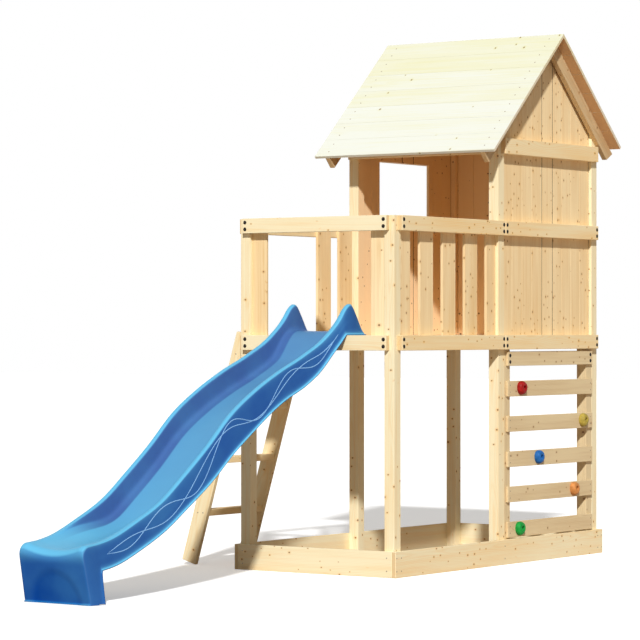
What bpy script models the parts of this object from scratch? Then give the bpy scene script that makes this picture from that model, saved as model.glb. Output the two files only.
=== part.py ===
"""Stilt playhouse: a timber tower on six posts, with a sandbox below, a railed balcony and a roofed
cabin above, a ladder on its left, a climbing wall on its right and a wavy slide in front.

X runs across the tower, Y from the slide to the cabin's back, Z up. Lengths are in metres. Until the
last step the tower's middle is at x = 0, its front face at y = 0 and the ground at z = 0.
"""

import math

import bmesh
import bpy
import numpy as np

# Clearance between solids that touch
GAP = 0.0003

# Tower frame
TOWER_WIDTH = 1.124
TOWER_DEPTH = 2.409
POST_SIDE = 0.070
CABIN_FRONT = 1.174
PLATFORM_TOP = 1.431
RAILING_RISE = 0.711

# Rails, let into the posts from outside
RAIL_HEIGHT = 0.090
RAIL_THICKNESS = 0.054
HOUSING_DEPTH = 0.020
CABIN_RAIL_HEIGHT = 0.098
CABIN_RAIL_RISE = 1.229

# Platform
DECK_THICKNESS = 0.020
DECK_BOARD = 0.123
JOIST_THICKNESS = 0.045

# Boards that stand behind the rails
BOARD_THICKNESS = 0.018
BOARD_SET_IN = 0.012
BOARD_FOOT_LAP = 0.071
BALUSTER_WIDTH = 0.145
BALUSTER_GAP = 0.107
FIRST_BALUSTER = 0.134
BALUSTERS_RIGHT = 5
LADDER_OPENING = 0.699
LEFT_BALUSTER_GAP = 0.092
BALUSTERS_LEFT = 2
FRONT_BOARD_WIDTH = 0.110

# Cabin walls
WALL_BOARD = 0.122
MIDDLE_BOARD = 0.133
MIDDLE_BOARD_OFFSET = 0.016
GROOVE_WIDTH = 0.004
GROOVE_DEPTH = 0.003
JOINT_WIDTH = 0.010
JOINT_DEPTH = 0.006
WINDOW_WIDTH = 0.589
WINDOW_OFFSET = 0.026

# Roof
ROOF_ANGLE = math.radians(42.5)
ROOF_SEAT = 0.125
FRONT_EAVE = 0.3145
BACK_EAVE = 0.1765
ROOF_BOARD_THICKNESS = 0.018
ROOF_BOARD = 0.165
GABLE_OVERHANG = 0.111
RAFTER_WIDTH = 0.035
RAFTER_DEPTH = 0.082
RAFTER_TAIL = 0.042
RAFTER_TAIL_CUT = 0.026

# Sandbox
SANDBOX_HEIGHT = 0.155
SANDBOX_THICKNESS = 0.028

# Climbing wall
CLIMB_BOARD_HEIGHT = 0.098
CLIMB_BOARD_THICKNESS = 0.018
CLIMB_BOARD_INSET = 0.017
CLIMB_TOP_HEIGHT = 0.090
CLIMB_TOP_CLEARANCE = 0.013
CLIMB_TOP_STEP = 0.188
CLIMB_FOOT_CLEARANCE = 0.009
CLIMB_BOARDS = 5
STONE_DIAMETER = 0.088
STONE_HEIGHT = 0.035
STONE_RECESS = 0.030
STONE_RAISE = 0.0045
STONE_SIDES = 20

# Ladder
LADDER_REACH = 0.407
LADDER_SEAT = 0.066
LADDER_TOP_RISE = 0.023
LADDER_FRONT = 0.115
LADDER_WIDTH = 0.615
STRINGER_WIDTH = 0.105
STRINGER_THICKNESS = 0.030
TREADS = 4
TREAD_DEPTH = 0.100
TREAD_THICKNESS = 0.040
FIRST_TREAD = 0.345
LAST_TREAD_DROP = 0.096

# Slide
SLIDE_RUN = 2.410
SLIDE_SHELL = 0.005
SLIDE_LIP_LENGTH = 0.165
SLIDE_LIP_RISE = 0.025
SLIDE_FLOOR_WIDTH = 0.352
SLIDE_WALL_LEAN = 0.009
SLIDE_RIM_WIDTH = 0.036
SLIDE_SKIRT_LEAN = 0.022
SLIDE_FLANGE = 0.008
SLIDE_SKIRT = 0.200
SLIDE_TROUGH = 0.130
SLIDE_LIP_FALL = 0.240
SLIDE_END_TROUGH = 0.030
SLIDE_END_RIM = 0.316
SLIDE_END_ROUNDING = 0.055
SLIDE_END_BULGE = 0.070
SLIDE_END_RETURN = 0.075
SLIDE_END_FLARE = 0.055
SLIDE_FOOT_CLEARANCE = 0.002
SLIDE_HEEL_HEIGHT = 0.165
SLIDE_HEEL_ROUNDING = 0.040
SLIDE_ARCH_WIDTH = 0.330
SLIDE_ARCH_HEIGHT = 0.180
SLIDE_ARCH_DEPTH = 0.012
SLIDE_ARCH_EDGE_SHARE = 0.45
SLIDE_LIP_STATIONS = 9
SLIDE_RUN_STATIONS = 28
SLIDE_END_STATIONS = 16

# The slide's rim from the lip to the foot: distance down the run and height, as shares of the run
# and of the drop from the platform to the rim's end
RIM_WAVE = (
    (-0.070, 1.022), (-0.044, 1.115), (-0.023, 1.168), (-0.004, 1.150), (0.021, 1.092),
    (0.079, 0.998), (0.180, 0.895), (0.280, 0.814), (0.377, 0.721), (0.471, 0.606),
    (0.565, 0.444), (0.656, 0.304), (0.727, 0.201), (0.832, 0.099), (0.917, 0.033), (1.0, 0.0),
)

# How far the skirt's lower edge hangs below the rim, as shares of the skirt's size, by share of the run
SKIRT_HANG = ((-0.070, 0.50), (0.010, 0.51), (0.079, 0.57), (0.133, 0.74), (0.300, 0.87),
              (0.450, 1.03), (0.565, 0.95), (0.727, 0.765), (0.830, 0.75), (1.0, 0.70))

# Between these shares of the run the trough opens into the foot's soft hollow
TROUGH_OPENS = (0.70, 0.96)

# Colours as linear red, green and blue, and roughness
FRAME_WOOD = ((0.80, 0.62, 0.38), 0.62)
BOARD_WOOD = ((0.76, 0.58, 0.35), 0.65)
ROOF_WOOD = ((0.87, 0.76, 0.52), 0.60)
SLIDE_BLUE = ((0.045, 0.19, 0.49), 0.35)
STONES = (
    ("red", (0.52, 0.02, 0.03), 0.149, "front"),
    ("yellow", (0.80, 0.55, 0.06), 0.137, "back"),
    ("blue", (0.02, 0.17, 0.55), 0.361, "front"),
    ("orange", (0.72, 0.30, 0.05), 0.253, "back"),
    ("green", (0.02, 0.36, 0.14), 0.127, "front"),
)
STONE_ROUGHNESS = 0.45

# Places that follow from the sizes above
HALF = TOWER_WIDTH / 2
POST_INNER = HALF - POST_SIDE
BOARD_OUTER = HOUSING_DEPTH
BOARD_INNER = HOUSING_DEPTH + BOARD_THICKNESS
RAIL_PROUD = RAIL_THICKNESS - HOUSING_DEPTH
CABIN_MIDDLE = (CABIN_FRONT + TOWER_DEPTH) / 2
BACK_POST = TOWER_DEPTH - POST_SIDE
PLATFORM_BOTTOM = PLATFORM_TOP - RAIL_HEIGHT
RAILING_TOP = PLATFORM_TOP + RAILING_RISE
CABIN_RAIL_TOP = PLATFORM_TOP + CABIN_RAIL_RISE
CABIN_HALF = (TOWER_DEPTH - CABIN_FRONT) / 2
RIDGE_TOP = CABIN_RAIL_TOP + ROOF_SEAT + CABIN_HALF * math.tan(ROOF_ANGLE)
FRONT_SLOPE = CABIN_HALF / math.cos(ROOF_ANGLE) + FRONT_EAVE
BACK_SLOPE = CABIN_HALF / math.cos(ROOF_ANGLE) + BACK_EAVE
BOARD_FOOT = PLATFORM_TOP - BOARD_FOOT_LAP


def clear_scene():
    for item in list(bpy.data.objects):
        bpy.data.objects.remove(item)


def finish(name, colour, roughness):
    """A material of one colour and roughness for the sub-part of that name."""
    material = bpy.data.materials.new(name + "_finish")
    material.use_nodes = True
    shader = material.node_tree.nodes["Principled BSDF"]
    shader.inputs["Base Color"].default_value = (*colour, 1.0)
    shader.inputs["Roughness"].default_value = roughness
    shader.inputs["Metallic"].default_value = 0.0
    return material


def add_object(name, mesh, look, place=(0.0, 0.0, 0.0)):
    item = bpy.data.objects.new(name, mesh)
    item.location = place
    item.parent = playhouse
    mesh.materials.append(finish(name, *look))
    bpy.context.collection.objects.link(item)
    return item


def mesh_from(name, points, faces):
    mesh = bpy.data.meshes.new(name)
    mesh.from_pydata([tuple(p) for p in points], [], faces)
    mesh.validate()
    return mesh


def box_points(low, high):
    """The eight corners of a box, lower four first, each four counter-clockwise from above."""
    (x0, y0, z0), (x1, y1, z1) = low, high
    floor = ((x0, y0), (x1, y0), (x1, y1), (x0, y1))
    return [(x, y, z) for z in (z0, z1) for x, y in floor]


BOX_FACES = ((3, 2, 1, 0), (4, 5, 6, 7), (0, 1, 5, 4), (1, 2, 6, 5), (2, 3, 7, 6), (3, 0, 4, 7))


def timber(name, low, high, look=FRAME_WOOD):
    """A squared timber between two corners, with its origin at its middle."""
    low, high = np.array(low, float), np.array(high, float)
    middle = (low + high) / 2
    mesh = mesh_from(name, box_points(low - middle, high - middle), BOX_FACES)
    item = add_object(name, mesh, look, middle)
    item["low"], item["high"] = low.tolist(), high.tolist()
    return item


def extruded(name, outline, start, end, axis, look):
    """A closed outline carried straight along an axis. The outline's two coordinates are the other two
    axes in the order X, Y, Z."""
    bm = bmesh.new()
    corners = []
    for a, b in outline:
        point = [a, b]
        point.insert(axis, start)
        corners.append(bm.verts.new(point))
    cap = bm.faces.new(corners)
    moved = bmesh.ops.extrude_face_region(bm, geom=[cap])["geom"]
    shift = [0.0, 0.0, 0.0]
    shift[axis] = end - start
    bmesh.ops.translate(bm, vec=shift, verts=[v for v in moved if isinstance(v, bmesh.types.BMVert)])
    bmesh.ops.recalc_face_normals(bm, faces=bm.faces)
    mesh = bpy.data.meshes.new(name)
    bm.to_mesh(mesh)
    bm.free()
    return add_object(name, mesh, look)


def cut_boxes(item, boxes, purpose):
    """Cuts boxes out of an object with one hidden cutter."""
    points, faces = [], []
    for low, high in boxes:
        faces += [tuple(len(points) + i for i in face) for face in BOX_FACES]
        points += box_points(low, high)
    name = item.name + "_" + purpose
    cutter = bpy.data.objects.new(name, mesh_from(name, points, faces))
    cutter.parent = playhouse
    cutter.hide_render = True
    cutter.display_type = "WIRE"
    bpy.context.collection.objects.link(cutter)
    modifier = item.modifiers.new(purpose, "BOOLEAN")
    modifier.operation = "DIFFERENCE"
    modifier.solver = "EXACT"
    modifier.object = cutter


def house(item, neighbours, purpose):
    """Cuts an object where squared neighbours pass through it, with the clearance all round."""
    low, high = np.array(item["low"]), np.array(item["high"])
    boxes = []
    for other in neighbours:
        other_low, other_high = np.array(other["low"]) - GAP, np.array(other["high"]) + GAP
        if np.all(other_low < high) and np.all(other_high > low):
            boxes.append((other_low, other_high))
    cut_boxes(item, boxes, purpose)


def roof_underside(y, depth=ROOF_BOARD_THICKNESS):
    """Height of a plane under the roof's top, the given depth below it square to the slope."""
    return RIDGE_TOP - depth / math.cos(ROOF_ANGLE) - abs(y - CABIN_MIDDLE) * math.tan(ROOF_ANGLE)


def build_rails():
    """Rails end at the posts' middles, lie in housings and stand proud of the posts."""
    end = HALF - POST_SIDE / 2
    outer = HALF + RAIL_PROUD
    inner = HALF - HOUSING_DEPTH
    front, back = POST_SIDE / 2, TOWER_DEPTH - POST_SIDE / 2
    cabin_end = CABIN_FRONT + POST_SIDE / 2
    levels = (("platform_rail", PLATFORM_BOTTOM, PLATFORM_TOP), ("railing", RAILING_TOP - RAIL_HEIGHT,
              RAILING_TOP), ("cabin_rail", CABIN_RAIL_TOP - CABIN_RAIL_HEIGHT, CABIN_RAIL_TOP))
    rails = []
    for kind, bottom, top in levels:
        side_start = cabin_end if kind == "cabin_rail" else front
        face = CABIN_FRONT if kind == "cabin_rail" else 0.0
        rails.append(timber(kind + "_front", (-end, face - RAIL_PROUD, bottom),
                            (end, face + HOUSING_DEPTH, top)))
        rails.append(timber(kind + "_left", (-outer, side_start, bottom), (-inner, back, top)))
        rails.append(timber(kind + "_right", (inner, side_start, bottom), (outer, back, top)))
        if kind != "railing":
            rails.append(timber(kind + "_back", (-end, TOWER_DEPTH - HOUSING_DEPTH, bottom),
                                (end, TOWER_DEPTH + RAIL_PROUD, top)))
    return rails


def build_posts(rails):
    """Six posts. The tall ones reach the roof boards, the short ones end level with the railing."""
    tall = roof_underside(CABIN_FRONT) - GAP
    rows = (("front", 0.0, RAILING_TOP), ("middle", CABIN_FRONT, tall), ("back", BACK_POST, tall))
    posts = []
    for row, y, top in rows:
        for side, x in (("left", -HALF), ("right", POST_INNER)):
            post = timber(f"post_{row}_{side}", (x, y, 0.0), (x + POST_SIDE, y + POST_SIDE, top))
            house(post, rails, "housings")
            posts.append(post)
    return posts


def build_platform(posts):
    """Deck boards along X on two joists, cut round the posts."""
    side = HALF - BOARD_INNER - GAP
    front, back = BOARD_INNER + GAP, TOWER_DEPTH - BOARD_INNER - GAP
    bottom = PLATFORM_TOP - DECK_THICKNESS
    count = round((back - front) / DECK_BOARD)
    pitch = (back - front) / count
    outline = [(front, bottom), (back, bottom), (back, PLATFORM_TOP)]
    for i in reversed(range(1, count)):
        outline += groove(front + i * pitch, PLATFORM_TOP, GROOVE_WIDTH, GROOVE_DEPTH)
    outline.append((front, PLATFORM_TOP))
    deck = extruded("deck", outline, -side, side, 0, BOARD_WOOD)
    deck["low"], deck["high"] = (-side, front, bottom), (side, back, PLATFORM_TOP)
    house(deck, posts, "post_notches")
    for name, outer in (("joist_left", -POST_INNER + GAP), ("joist_right", POST_INNER - GAP)):
        inner = outer - math.copysign(JOIST_THICKNESS, outer)
        timber(name, (min(outer, inner), front, PLATFORM_BOTTOM),
               (max(outer, inner), back, bottom - GAP))


def groove(middle, face, width, depth):
    """Three points of a V groove in an edge that runs backwards along the first coordinate."""
    return [(middle + width / 2, face), (middle, face - depth), (middle - width / 2, face)]


def wall_grooves():
    """The side wall's board joints along Y, each with its width and depth: a middle board between two
    open joints, and narrow boards from there to the posts."""
    middle = CABIN_MIDDLE + MIDDLE_BOARD_OFFSET
    start, end = CABIN_FRONT + POST_SIDE, BACK_POST
    grooves = []
    for joint, limit in ((middle - MIDDLE_BOARD / 2, start), (middle + MIDDLE_BOARD / 2, end)):
        grooves.append((joint, JOINT_WIDTH, JOINT_DEPTH))
        count = round(abs(limit - joint) / WALL_BOARD)
        grooves += [(joint + (limit - joint) * i / count, GROOVE_WIDTH, GROOVE_DEPTH)
                    for i in range(1, count)]
    return sorted(grooves)


def panel_outline(start, end, outer, inner, grooves):
    """Section of a boarded wall: a strip from start to end, with V grooves in both of its faces."""
    inward = math.copysign(1.0, inner - outer)
    there = [(start, outer)]
    back = [(start, inner)]
    for middle, width, depth in grooves:
        for side, line, turn in ((outer, there, inward), (inner, back, -inward)):
            line += [(middle - width / 2, side), (middle, side + turn * depth), (middle + width / 2, side)]
    there.append((end, outer))
    back.append((end, inner))
    return there + back[::-1]


def trim_under_roof(item):
    """Cuts a wall's top along both slopes, just below the roof boards."""
    bm = bmesh.new()
    bm.from_mesh(item.data)
    for slope in (-1.0, 1.0):
        plane_point = (0.0, CABIN_MIDDLE, roof_underside(CABIN_MIDDLE) - GAP)
        plane_normal = (0.0, slope * math.sin(ROOF_ANGLE), math.cos(ROOF_ANGLE))
        bmesh.ops.bisect_plane(bm, geom=bm.verts[:] + bm.edges[:] + bm.faces[:], dist=GAP / 10,
                               plane_co=plane_point, plane_no=plane_normal, clear_outer=True)
        bmesh.ops.edgeloop_fill(bm, edges=[e for e in bm.edges if e.is_boundary])
    bmesh.ops.recalc_face_normals(bm, faces=bm.faces)
    bm.to_mesh(item.data)
    bm.free()


def build_walls():
    """Upright boards behind the rails: both sides up into the gables, and the back up to its rail."""
    start, end = CABIN_FRONT + POST_SIDE + GAP, BACK_POST - GAP
    for name, side in (("wall_left", -1.0), ("wall_right", 1.0)):
        outer, inner = side * (HALF - BOARD_OUTER - GAP), side * (HALF - BOARD_INNER)
        outline = panel_outline(start, end, outer, inner, wall_grooves())
        wall = extruded(name, [(x, y) for y, x in outline], BOARD_FOOT, RIDGE_TOP, 2, BOARD_WOOD)
        trim_under_roof(wall)
        if side < 0:
            window = CABIN_MIDDLE - WINDOW_OFFSET
            cut_boxes(wall, [((-HALF, window - WINDOW_WIDTH / 2, RAILING_TOP),
                              (-POST_INNER, window + WINDOW_WIDTH / 2,
                               CABIN_RAIL_TOP - CABIN_RAIL_HEIGHT))], "window")
    span = POST_INNER - GAP
    count = round(2 * span / WALL_BOARD)
    grooves = [(-span + 2 * span * i / count, GROOVE_WIDTH, GROOVE_DEPTH) for i in range(1, count)]
    outline = panel_outline(-span, span, TOWER_DEPTH - BOARD_OUTER - GAP, TOWER_DEPTH - BOARD_INNER,
                            grooves)
    extruded("wall_back", outline, BOARD_FOOT, CABIN_RAIL_TOP - BOARD_SET_IN, 2, BOARD_WOOD)


def build_balustrade():
    """Boards nailed behind the rails: five on the right, two on the left, one at each front corner."""
    bottom, top = BOARD_FOOT, RAILING_TOP - BOARD_SET_IN
    outer, inner = HALF - BOARD_OUTER - GAP, HALF - BOARD_INNER
    bay_start, bay_end = POST_SIDE + GAP, CABIN_FRONT - GAP
    y = bay_start
    for i in range(BALUSTERS_RIGHT):
        width = FIRST_BALUSTER if i == 0 else BALUSTER_WIDTH
        timber(f"baluster_right_{i + 1}", (inner, y, bottom), (outer, min(y + width, bay_end), top),
               BOARD_WOOD)
        y += width + BALUSTER_GAP
    y = POST_SIDE + LADDER_OPENING
    for i in range(BALUSTERS_LEFT):
        timber(f"baluster_left_{i + 1}", (-outer, y, bottom),
               (-inner, min(y + BALUSTER_WIDTH, bay_end), top), BOARD_WOOD)
        y += BALUSTER_WIDTH + LEFT_BALUSTER_GAP
    near, far = BOARD_OUTER + GAP, BOARD_INNER
    edge = POST_INNER - GAP
    for name, x in (("front_board_left", -edge), ("front_board_right", edge - FRONT_BOARD_WIDTH)):
        timber(name, (x, near, bottom), (x + FRONT_BOARD_WIDTH, far, top), BOARD_WOOD)


def slope_point(run, depth, side):
    """A point of the roof in Y and Z: so far down the slope from the ridge, and so deep under its top.
    The side is -1 for the front slope and 1 for the back slope."""
    y = run * math.cos(ROOF_ANGLE) - depth * math.sin(ROOF_ANGLE)
    z = -run * math.sin(ROOF_ANGLE) - depth * math.cos(ROOF_ANGLE)
    return CABIN_MIDDLE + side * y, RIDGE_TOP + z


def build_roof():
    """Two slopes of boards mitred at the ridge, over a pair of rafters outside each gable. The back
    rafters run on past the boards, with a raked cut."""
    half = HALF + GABLE_OVERHANG
    thickness = ROOF_BOARD_THICKNESS
    for name, side, length in (("roof_front", -1.0, FRONT_SLOPE), ("roof_back", 1.0, BACK_SLOPE)):
        count = round(length / ROOF_BOARD)
        mitre = GAP
        outline = [(mitre, 0.0)]
        for i in range(1, count):
            joint = length * i / count
            outline += [(joint - GROOVE_WIDTH / 2, 0.0), (joint, GROOVE_DEPTH),
                        (joint + GROOVE_WIDTH / 2, 0.0)]
        outline += [(length, 0.0), (length, thickness), (mitre + thickness * math.tan(ROOF_ANGLE),
                                                         thickness)]
        points = [slope_point(run, depth, side) for run, depth in outline]
        extruded(name, points, -half, half, 0, ROOF_WOOD)
    top = thickness + GAP
    low = top + RAFTER_DEPTH
    steep = math.tan(ROOF_ANGLE)
    tail = BACK_SLOPE + RAFTER_TAIL
    outline = [slope_point(top * steep, top, -1.0), slope_point(FRONT_SLOPE, top, -1.0),
               slope_point(FRONT_SLOPE, low, -1.0), slope_point(low * steep, low, -1.0),
               slope_point(tail - RAFTER_TAIL_CUT, low, 1.0), slope_point(tail, top, 1.0)]
    extruded("rafters_left", outline, -HALF - GAP - RAFTER_WIDTH, -HALF - GAP, 0, FRAME_WOOD)
    extruded("rafters_right", outline, HALF + GAP, HALF + GAP + RAFTER_WIDTH, 0, FRAME_WOOD)


def build_sandbox():
    """Four boards on edge round the posts' feet. The side boards cover the ends of the other two."""
    out = SANDBOX_THICKNESS + GAP
    timber("sandbox_front", (-HALF, -out, 0.0), (HALF, -GAP, SANDBOX_HEIGHT))
    timber("sandbox_back", (-HALF, TOWER_DEPTH + GAP, 0.0), (HALF, TOWER_DEPTH + out, SANDBOX_HEIGHT))
    timber("sandbox_left", (-HALF - out, -out, 0.0), (-HALF - GAP, TOWER_DEPTH + out, SANDBOX_HEIGHT))
    timber("sandbox_right", (HALF + GAP, -out, 0.0), (HALF + out, TOWER_DEPTH + out, SANDBOX_HEIGHT))


def turned(name, profile, sides, place, look):
    """A closed turned piece round the X axis. The profile lists radius and height from the middle of
    its top, outwards and round to the middle of its base."""
    angles = np.arange(sides) * 2 * math.pi / sides
    rings = np.array(profile[1:-1])
    radius, height = rings[:, :1], np.repeat(rings[:, 1:], sides, axis=1)
    body = np.stack([height, radius * np.cos(angles), radius * np.sin(angles)], axis=-1).reshape(-1, 3)
    points = [(profile[0][1], 0.0, 0.0), *body.tolist(), (profile[-1][1], 0.0, 0.0)]
    faces = []
    for i in range(sides):
        j = (i + 1) % sides
        faces.append((0, 1 + i, 1 + j))
        for ring in range(len(rings) - 1):
            a, b = 1 + ring * sides, 1 + (ring + 1) * sides
            faces.append((a + i, b + i, b + j, a + j))
        last = 1 + (len(rings) - 1) * sides
        faces.append((last + i, len(points) - 1, last + j))
    mesh = mesh_from(name, points, faces)
    mesh.shade_smooth()
    mesh.set_sharp_from_angle(angle=math.radians(40))
    return add_object(name, mesh, look, place)


def build_climbing_wall():
    """Two battens beside the posts carry a top board and five boards at an even pitch, with a stone on
    each of the five."""
    y_front, y_back = CABIN_FRONT + POST_SIDE + GAP, BACK_POST - GAP
    for name, y in (("batten_front", y_front), ("batten_back", y_back - POST_SIDE)):
        timber(name, (POST_INNER, y, 0.0), (HALF, y + POST_SIDE, PLATFORM_BOTTOM - GAP))
    start, end = y_front + CLIMB_BOARD_INSET, y_back - CLIMB_BOARD_INSET
    inner = HALF + GAP
    outer = inner + CLIMB_BOARD_THICKNESS
    top_board = PLATFORM_BOTTOM - CLIMB_TOP_CLEARANCE - CLIMB_TOP_HEIGHT / 2
    lowest = SANDBOX_HEIGHT + CLIMB_FOOT_CLEARANCE + CLIMB_BOARD_HEIGHT / 2
    pitch = (top_board - CLIMB_TOP_STEP - lowest) / (CLIMB_BOARDS - 1)
    boards = [(top_board, CLIMB_TOP_HEIGHT)]
    boards += [(lowest + pitch * i, CLIMB_BOARD_HEIGHT) for i in reversed(range(CLIMB_BOARDS))]
    for i, (middle, height) in enumerate(boards):
        timber(f"climb_board_{i + 1}", (inner, start, middle - height / 2),
               (outer, end, middle + height / 2))
    radius, tall = STONE_DIAMETER / 2, STONE_HEIGHT
    recess = STONE_RECESS / 2
    profile = ((0.0, 0.55 * tall), (0.9 * recess, 0.55 * tall), (recess, 0.93 * tall),
               (1.25 * recess, tall), (0.80 * radius, 0.88 * tall), (0.96 * radius, 0.55 * tall),
               (radius, 0.20 * tall), (0.97 * radius, 0.0), (0.0, 0.0))
    for (middle, _), (colour_name, colour, distance, measured_from) in zip(boards[1:], STONES):
        y = start + distance if measured_from == "front" else end - distance
        turned("stone_" + colour_name, profile, STONE_SIDES,
               (outer + GAP, y, middle + STONE_RAISE), (colour, STONE_ROUGHNESS))


def build_ladder():
    """Two leaning stringers, square cut at both ends and seated plumb against the platform rail, with
    level treads between them."""
    seat = -(HALF + RAIL_PROUD + GAP)
    foot = seat + GAP - LADDER_REACH
    seat_bottom = PLATFORM_TOP - LADDER_SEAT
    lean = math.atan2(seat - foot, seat_bottom)
    along = np.array([math.sin(lean), math.cos(lean)])
    across = np.array([-math.cos(lean), math.sin(lean)]) * STRINGER_WIDTH
    inner_foot = np.array([foot, 0.0])
    outer_foot = inner_foot + across
    outer_top = outer_foot + along * (PLATFORM_TOP + LADDER_TOP_RISE - outer_foot[1]) / along[1]
    seat_top = outer_top[1] - (seat - outer_top[0]) * math.tan(lean)
    outline = [inner_foot, (seat, seat_bottom), (seat, seat_top), outer_top, outer_foot]
    front, back = LADDER_FRONT, LADDER_FRONT + LADDER_WIDTH - STRINGER_THICKNESS
    for name, y in (("stringer_front", front), ("stringer_back", back)):
        extruded(name, outline, y, y + STRINGER_THICKNESS, 1, FRAME_WOOD)
    last = PLATFORM_TOP - LAST_TREAD_DROP
    for i in range(TREADS):
        top = FIRST_TREAD + (last - FIRST_TREAD) * i / (TREADS - 1)
        level = top - TREAD_THICKNESS / 2
        middle = foot - STRINGER_WIDTH / 2 / math.cos(lean) + level * math.tan(lean)
        timber(f"tread_{i + 1}", (middle - TREAD_DEPTH / 2, front + STRINGER_THICKNESS + GAP,
                                  top - TREAD_THICKNESS),
               (middle + TREAD_DEPTH / 2, back - GAP, top))


def curve(knots, at):
    """Cubic curve through knots, each slope taken across the knot's neighbours, read at given places."""
    x, y = np.array(knots).T
    slope = np.gradient(y, x)
    i = np.clip(np.searchsorted(x, at) - 1, 0, len(x) - 2)
    width = x[i + 1] - x[i]
    t = (at - x[i]) / width
    return ((1 + 2 * t) * (1 - t) ** 2 * y[i] + t * (1 - t) ** 2 * width * slope[i]
            + t ** 2 * (3 - 2 * t) * y[i + 1] - t ** 2 * (1 - t) * width * slope[i + 1])


def smooth_step(t):
    """Zero up to 0, one from 1, and an even rise between."""
    t = np.clip(t, 0.0, 1.0)
    return t * t * (3 - 2 * t)


def rounded_bend(start, corner, end, radius, shares):
    """Points on two straight legs with a round of that radius at their corner, read at shares of the
    whole length."""
    start, corner, end = (np.array(p, float) for p in (start, corner, end))
    to_start = (start - corner) / np.linalg.norm(start - corner)
    to_end = (end - corner) / np.linalg.norm(end - corner)
    opening = math.acos(float(np.dot(to_start, to_end)))
    reach = radius / math.tan(opening / 2)
    bisector = (to_start + to_end) / np.linalg.norm(to_start + to_end)
    centre = corner + bisector * radius / math.sin(opening / 2)
    first, last = corner + to_start * reach, corner + to_end * reach
    turn = math.pi - opening
    spokes = np.linspace(0.0, 1.0, 13)[:, None]
    a, b = first - centre, last - centre
    arc = centre + (np.sin((1 - spokes) * turn) * a + np.sin(spokes * turn) * b) / math.sin(turn)
    path = np.vstack([start, arc, end])
    length = np.concatenate([[0.0], np.cumsum(np.linalg.norm(np.diff(path, axis=0), axis=1))])
    return np.stack([np.interp(shares * length[-1], length, path[:, k]) for k in range(2)], axis=1)


def slide_paths():
    """Side view of the slide as three matching paths in Y and Z: the floor's middle, the rim's top and
    the skirt's lower edge. The run is cut by upright planes. At the foot all three turn down. Also
    tells, for each station, how far the trough has opened into the foot's soft hollow."""
    drop = PLATFORM_TOP - SLIDE_END_RIM
    turn_share = 1.0 - SLIDE_END_RETURN / SLIDE_RUN
    rail_face = (RAIL_PROUD + SLIDE_SHELL) / SLIDE_RUN
    share = np.concatenate([np.linspace(-SLIDE_LIP_LENGTH / SLIDE_RUN, rail_face, SLIDE_LIP_STATIONS),
                            np.linspace(rail_face, turn_share, SLIDE_RUN_STATIONS)[1:]])
    y = -share * SLIDE_RUN
    rim = SLIDE_END_RIM + drop * curve(RIM_WAVE, share)
    shallow = smooth_step((share - TROUGH_OPENS[0]) / (TROUGH_OPENS[1] - TROUGH_OPENS[0]))
    trough = SLIDE_TROUGH + (SLIDE_END_TROUGH - SLIDE_TROUGH) * shallow
    lip = PLATFORM_TOP + SLIDE_LIP_RISE
    below_lip = smooth_step((HOUSING_DEPTH - y) / SLIDE_LIP_FALL)
    floor = np.minimum(rim, lip + (rim - trough - lip) * below_lip)
    on_deck = PLATFORM_TOP + GAP + SLIDE_SHELL
    hanging = rim - SLIDE_SKIRT * curve(SKIRT_HANG, share)
    skirt = np.minimum(on_deck, np.where(share > rail_face, hanging, on_deck))
    run = [np.stack([y, z], axis=1) for z in (floor, rim, skirt)]

    shares = np.linspace(0.0, 1.0, SLIDE_END_STATIONS + 1)[1:]
    face = -SLIDE_RUN - SLIDE_END_BULGE
    toe = (-SLIDE_RUN, SLIDE_SHELL + SLIDE_FOOT_CLEARANCE)
    rim_end = rounded_bend(run[1][-1], (face, SLIDE_END_RIM), toe, SLIDE_END_ROUNDING, shares)
    floor_end = rounded_bend(run[0][-1], (face, SLIDE_END_RIM - SLIDE_END_TROUGH), toe,
                             SLIDE_END_ROUNDING, shares)
    heel = -SLIDE_RUN + SLIDE_END_RETURN
    skirt_end = rounded_bend(run[2][-1], (heel - SLIDE_SHELL, SLIDE_HEEL_HEIGHT),
                             (heel + SLIDE_SHELL, toe[1]), SLIDE_HEEL_ROUNDING, shares)
    flange = np.array([[-SLIDE_FLANGE, 0.0]])
    ends = [np.vstack([floor_end, floor_end[-1] + flange]), np.vstack([rim_end, rim_end[-1] + flange]),
            np.vstack([skirt_end, skirt_end[-1] - flange / 2])]
    opened = np.concatenate([shallow, np.ones(len(shares) + 1)])
    return [np.vstack(pair) for pair in zip(run, ends)] + [opened]


def slide_section():
    """Half of the slide's section, from the middle of the floor outwards: how far out each point lies,
    how far it has risen from the floor to the rim, and how far it has fallen from the rim to the
    skirt's edge, the last two as shares."""
    inner = SLIDE_FLOOR_WIDTH / 2
    rim_inner = inner + SLIDE_WALL_LEAN
    rim_outer = rim_inner + SLIDE_RIM_WIDTH
    skirt = rim_outer + SLIDE_SKIRT_LEAN
    edge = skirt + SLIDE_FLANGE
    return np.array((
        (0.0, 0.0, 0.0), (0.25 * inner, 0.0, 0.0), (0.50 * inner, 0.0, 0.0), (0.70 * inner, 0.01, 0.0),
        (0.86 * inner, 0.04, 0.0), (0.95 * inner, 0.12, 0.0), (inner, 0.26, 0.0),
        ((inner + rim_inner) / 2, 0.62, 0.0), (rim_inner, 0.93, 0.0),
        (rim_inner + 0.25 * SLIDE_RIM_WIDTH, 0.99, 0.0), (rim_inner + 0.60 * SLIDE_RIM_WIDTH, 1.0, 0.0),
        (rim_inner + 0.88 * SLIDE_RIM_WIDTH, 1.0, 0.03), (rim_outer, 1.0, 0.12),
        ((rim_outer + skirt) / 2, 1.0, 0.55), (skirt, 1.0, 0.97), (edge, 1.0, 1.0),
    ))


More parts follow.
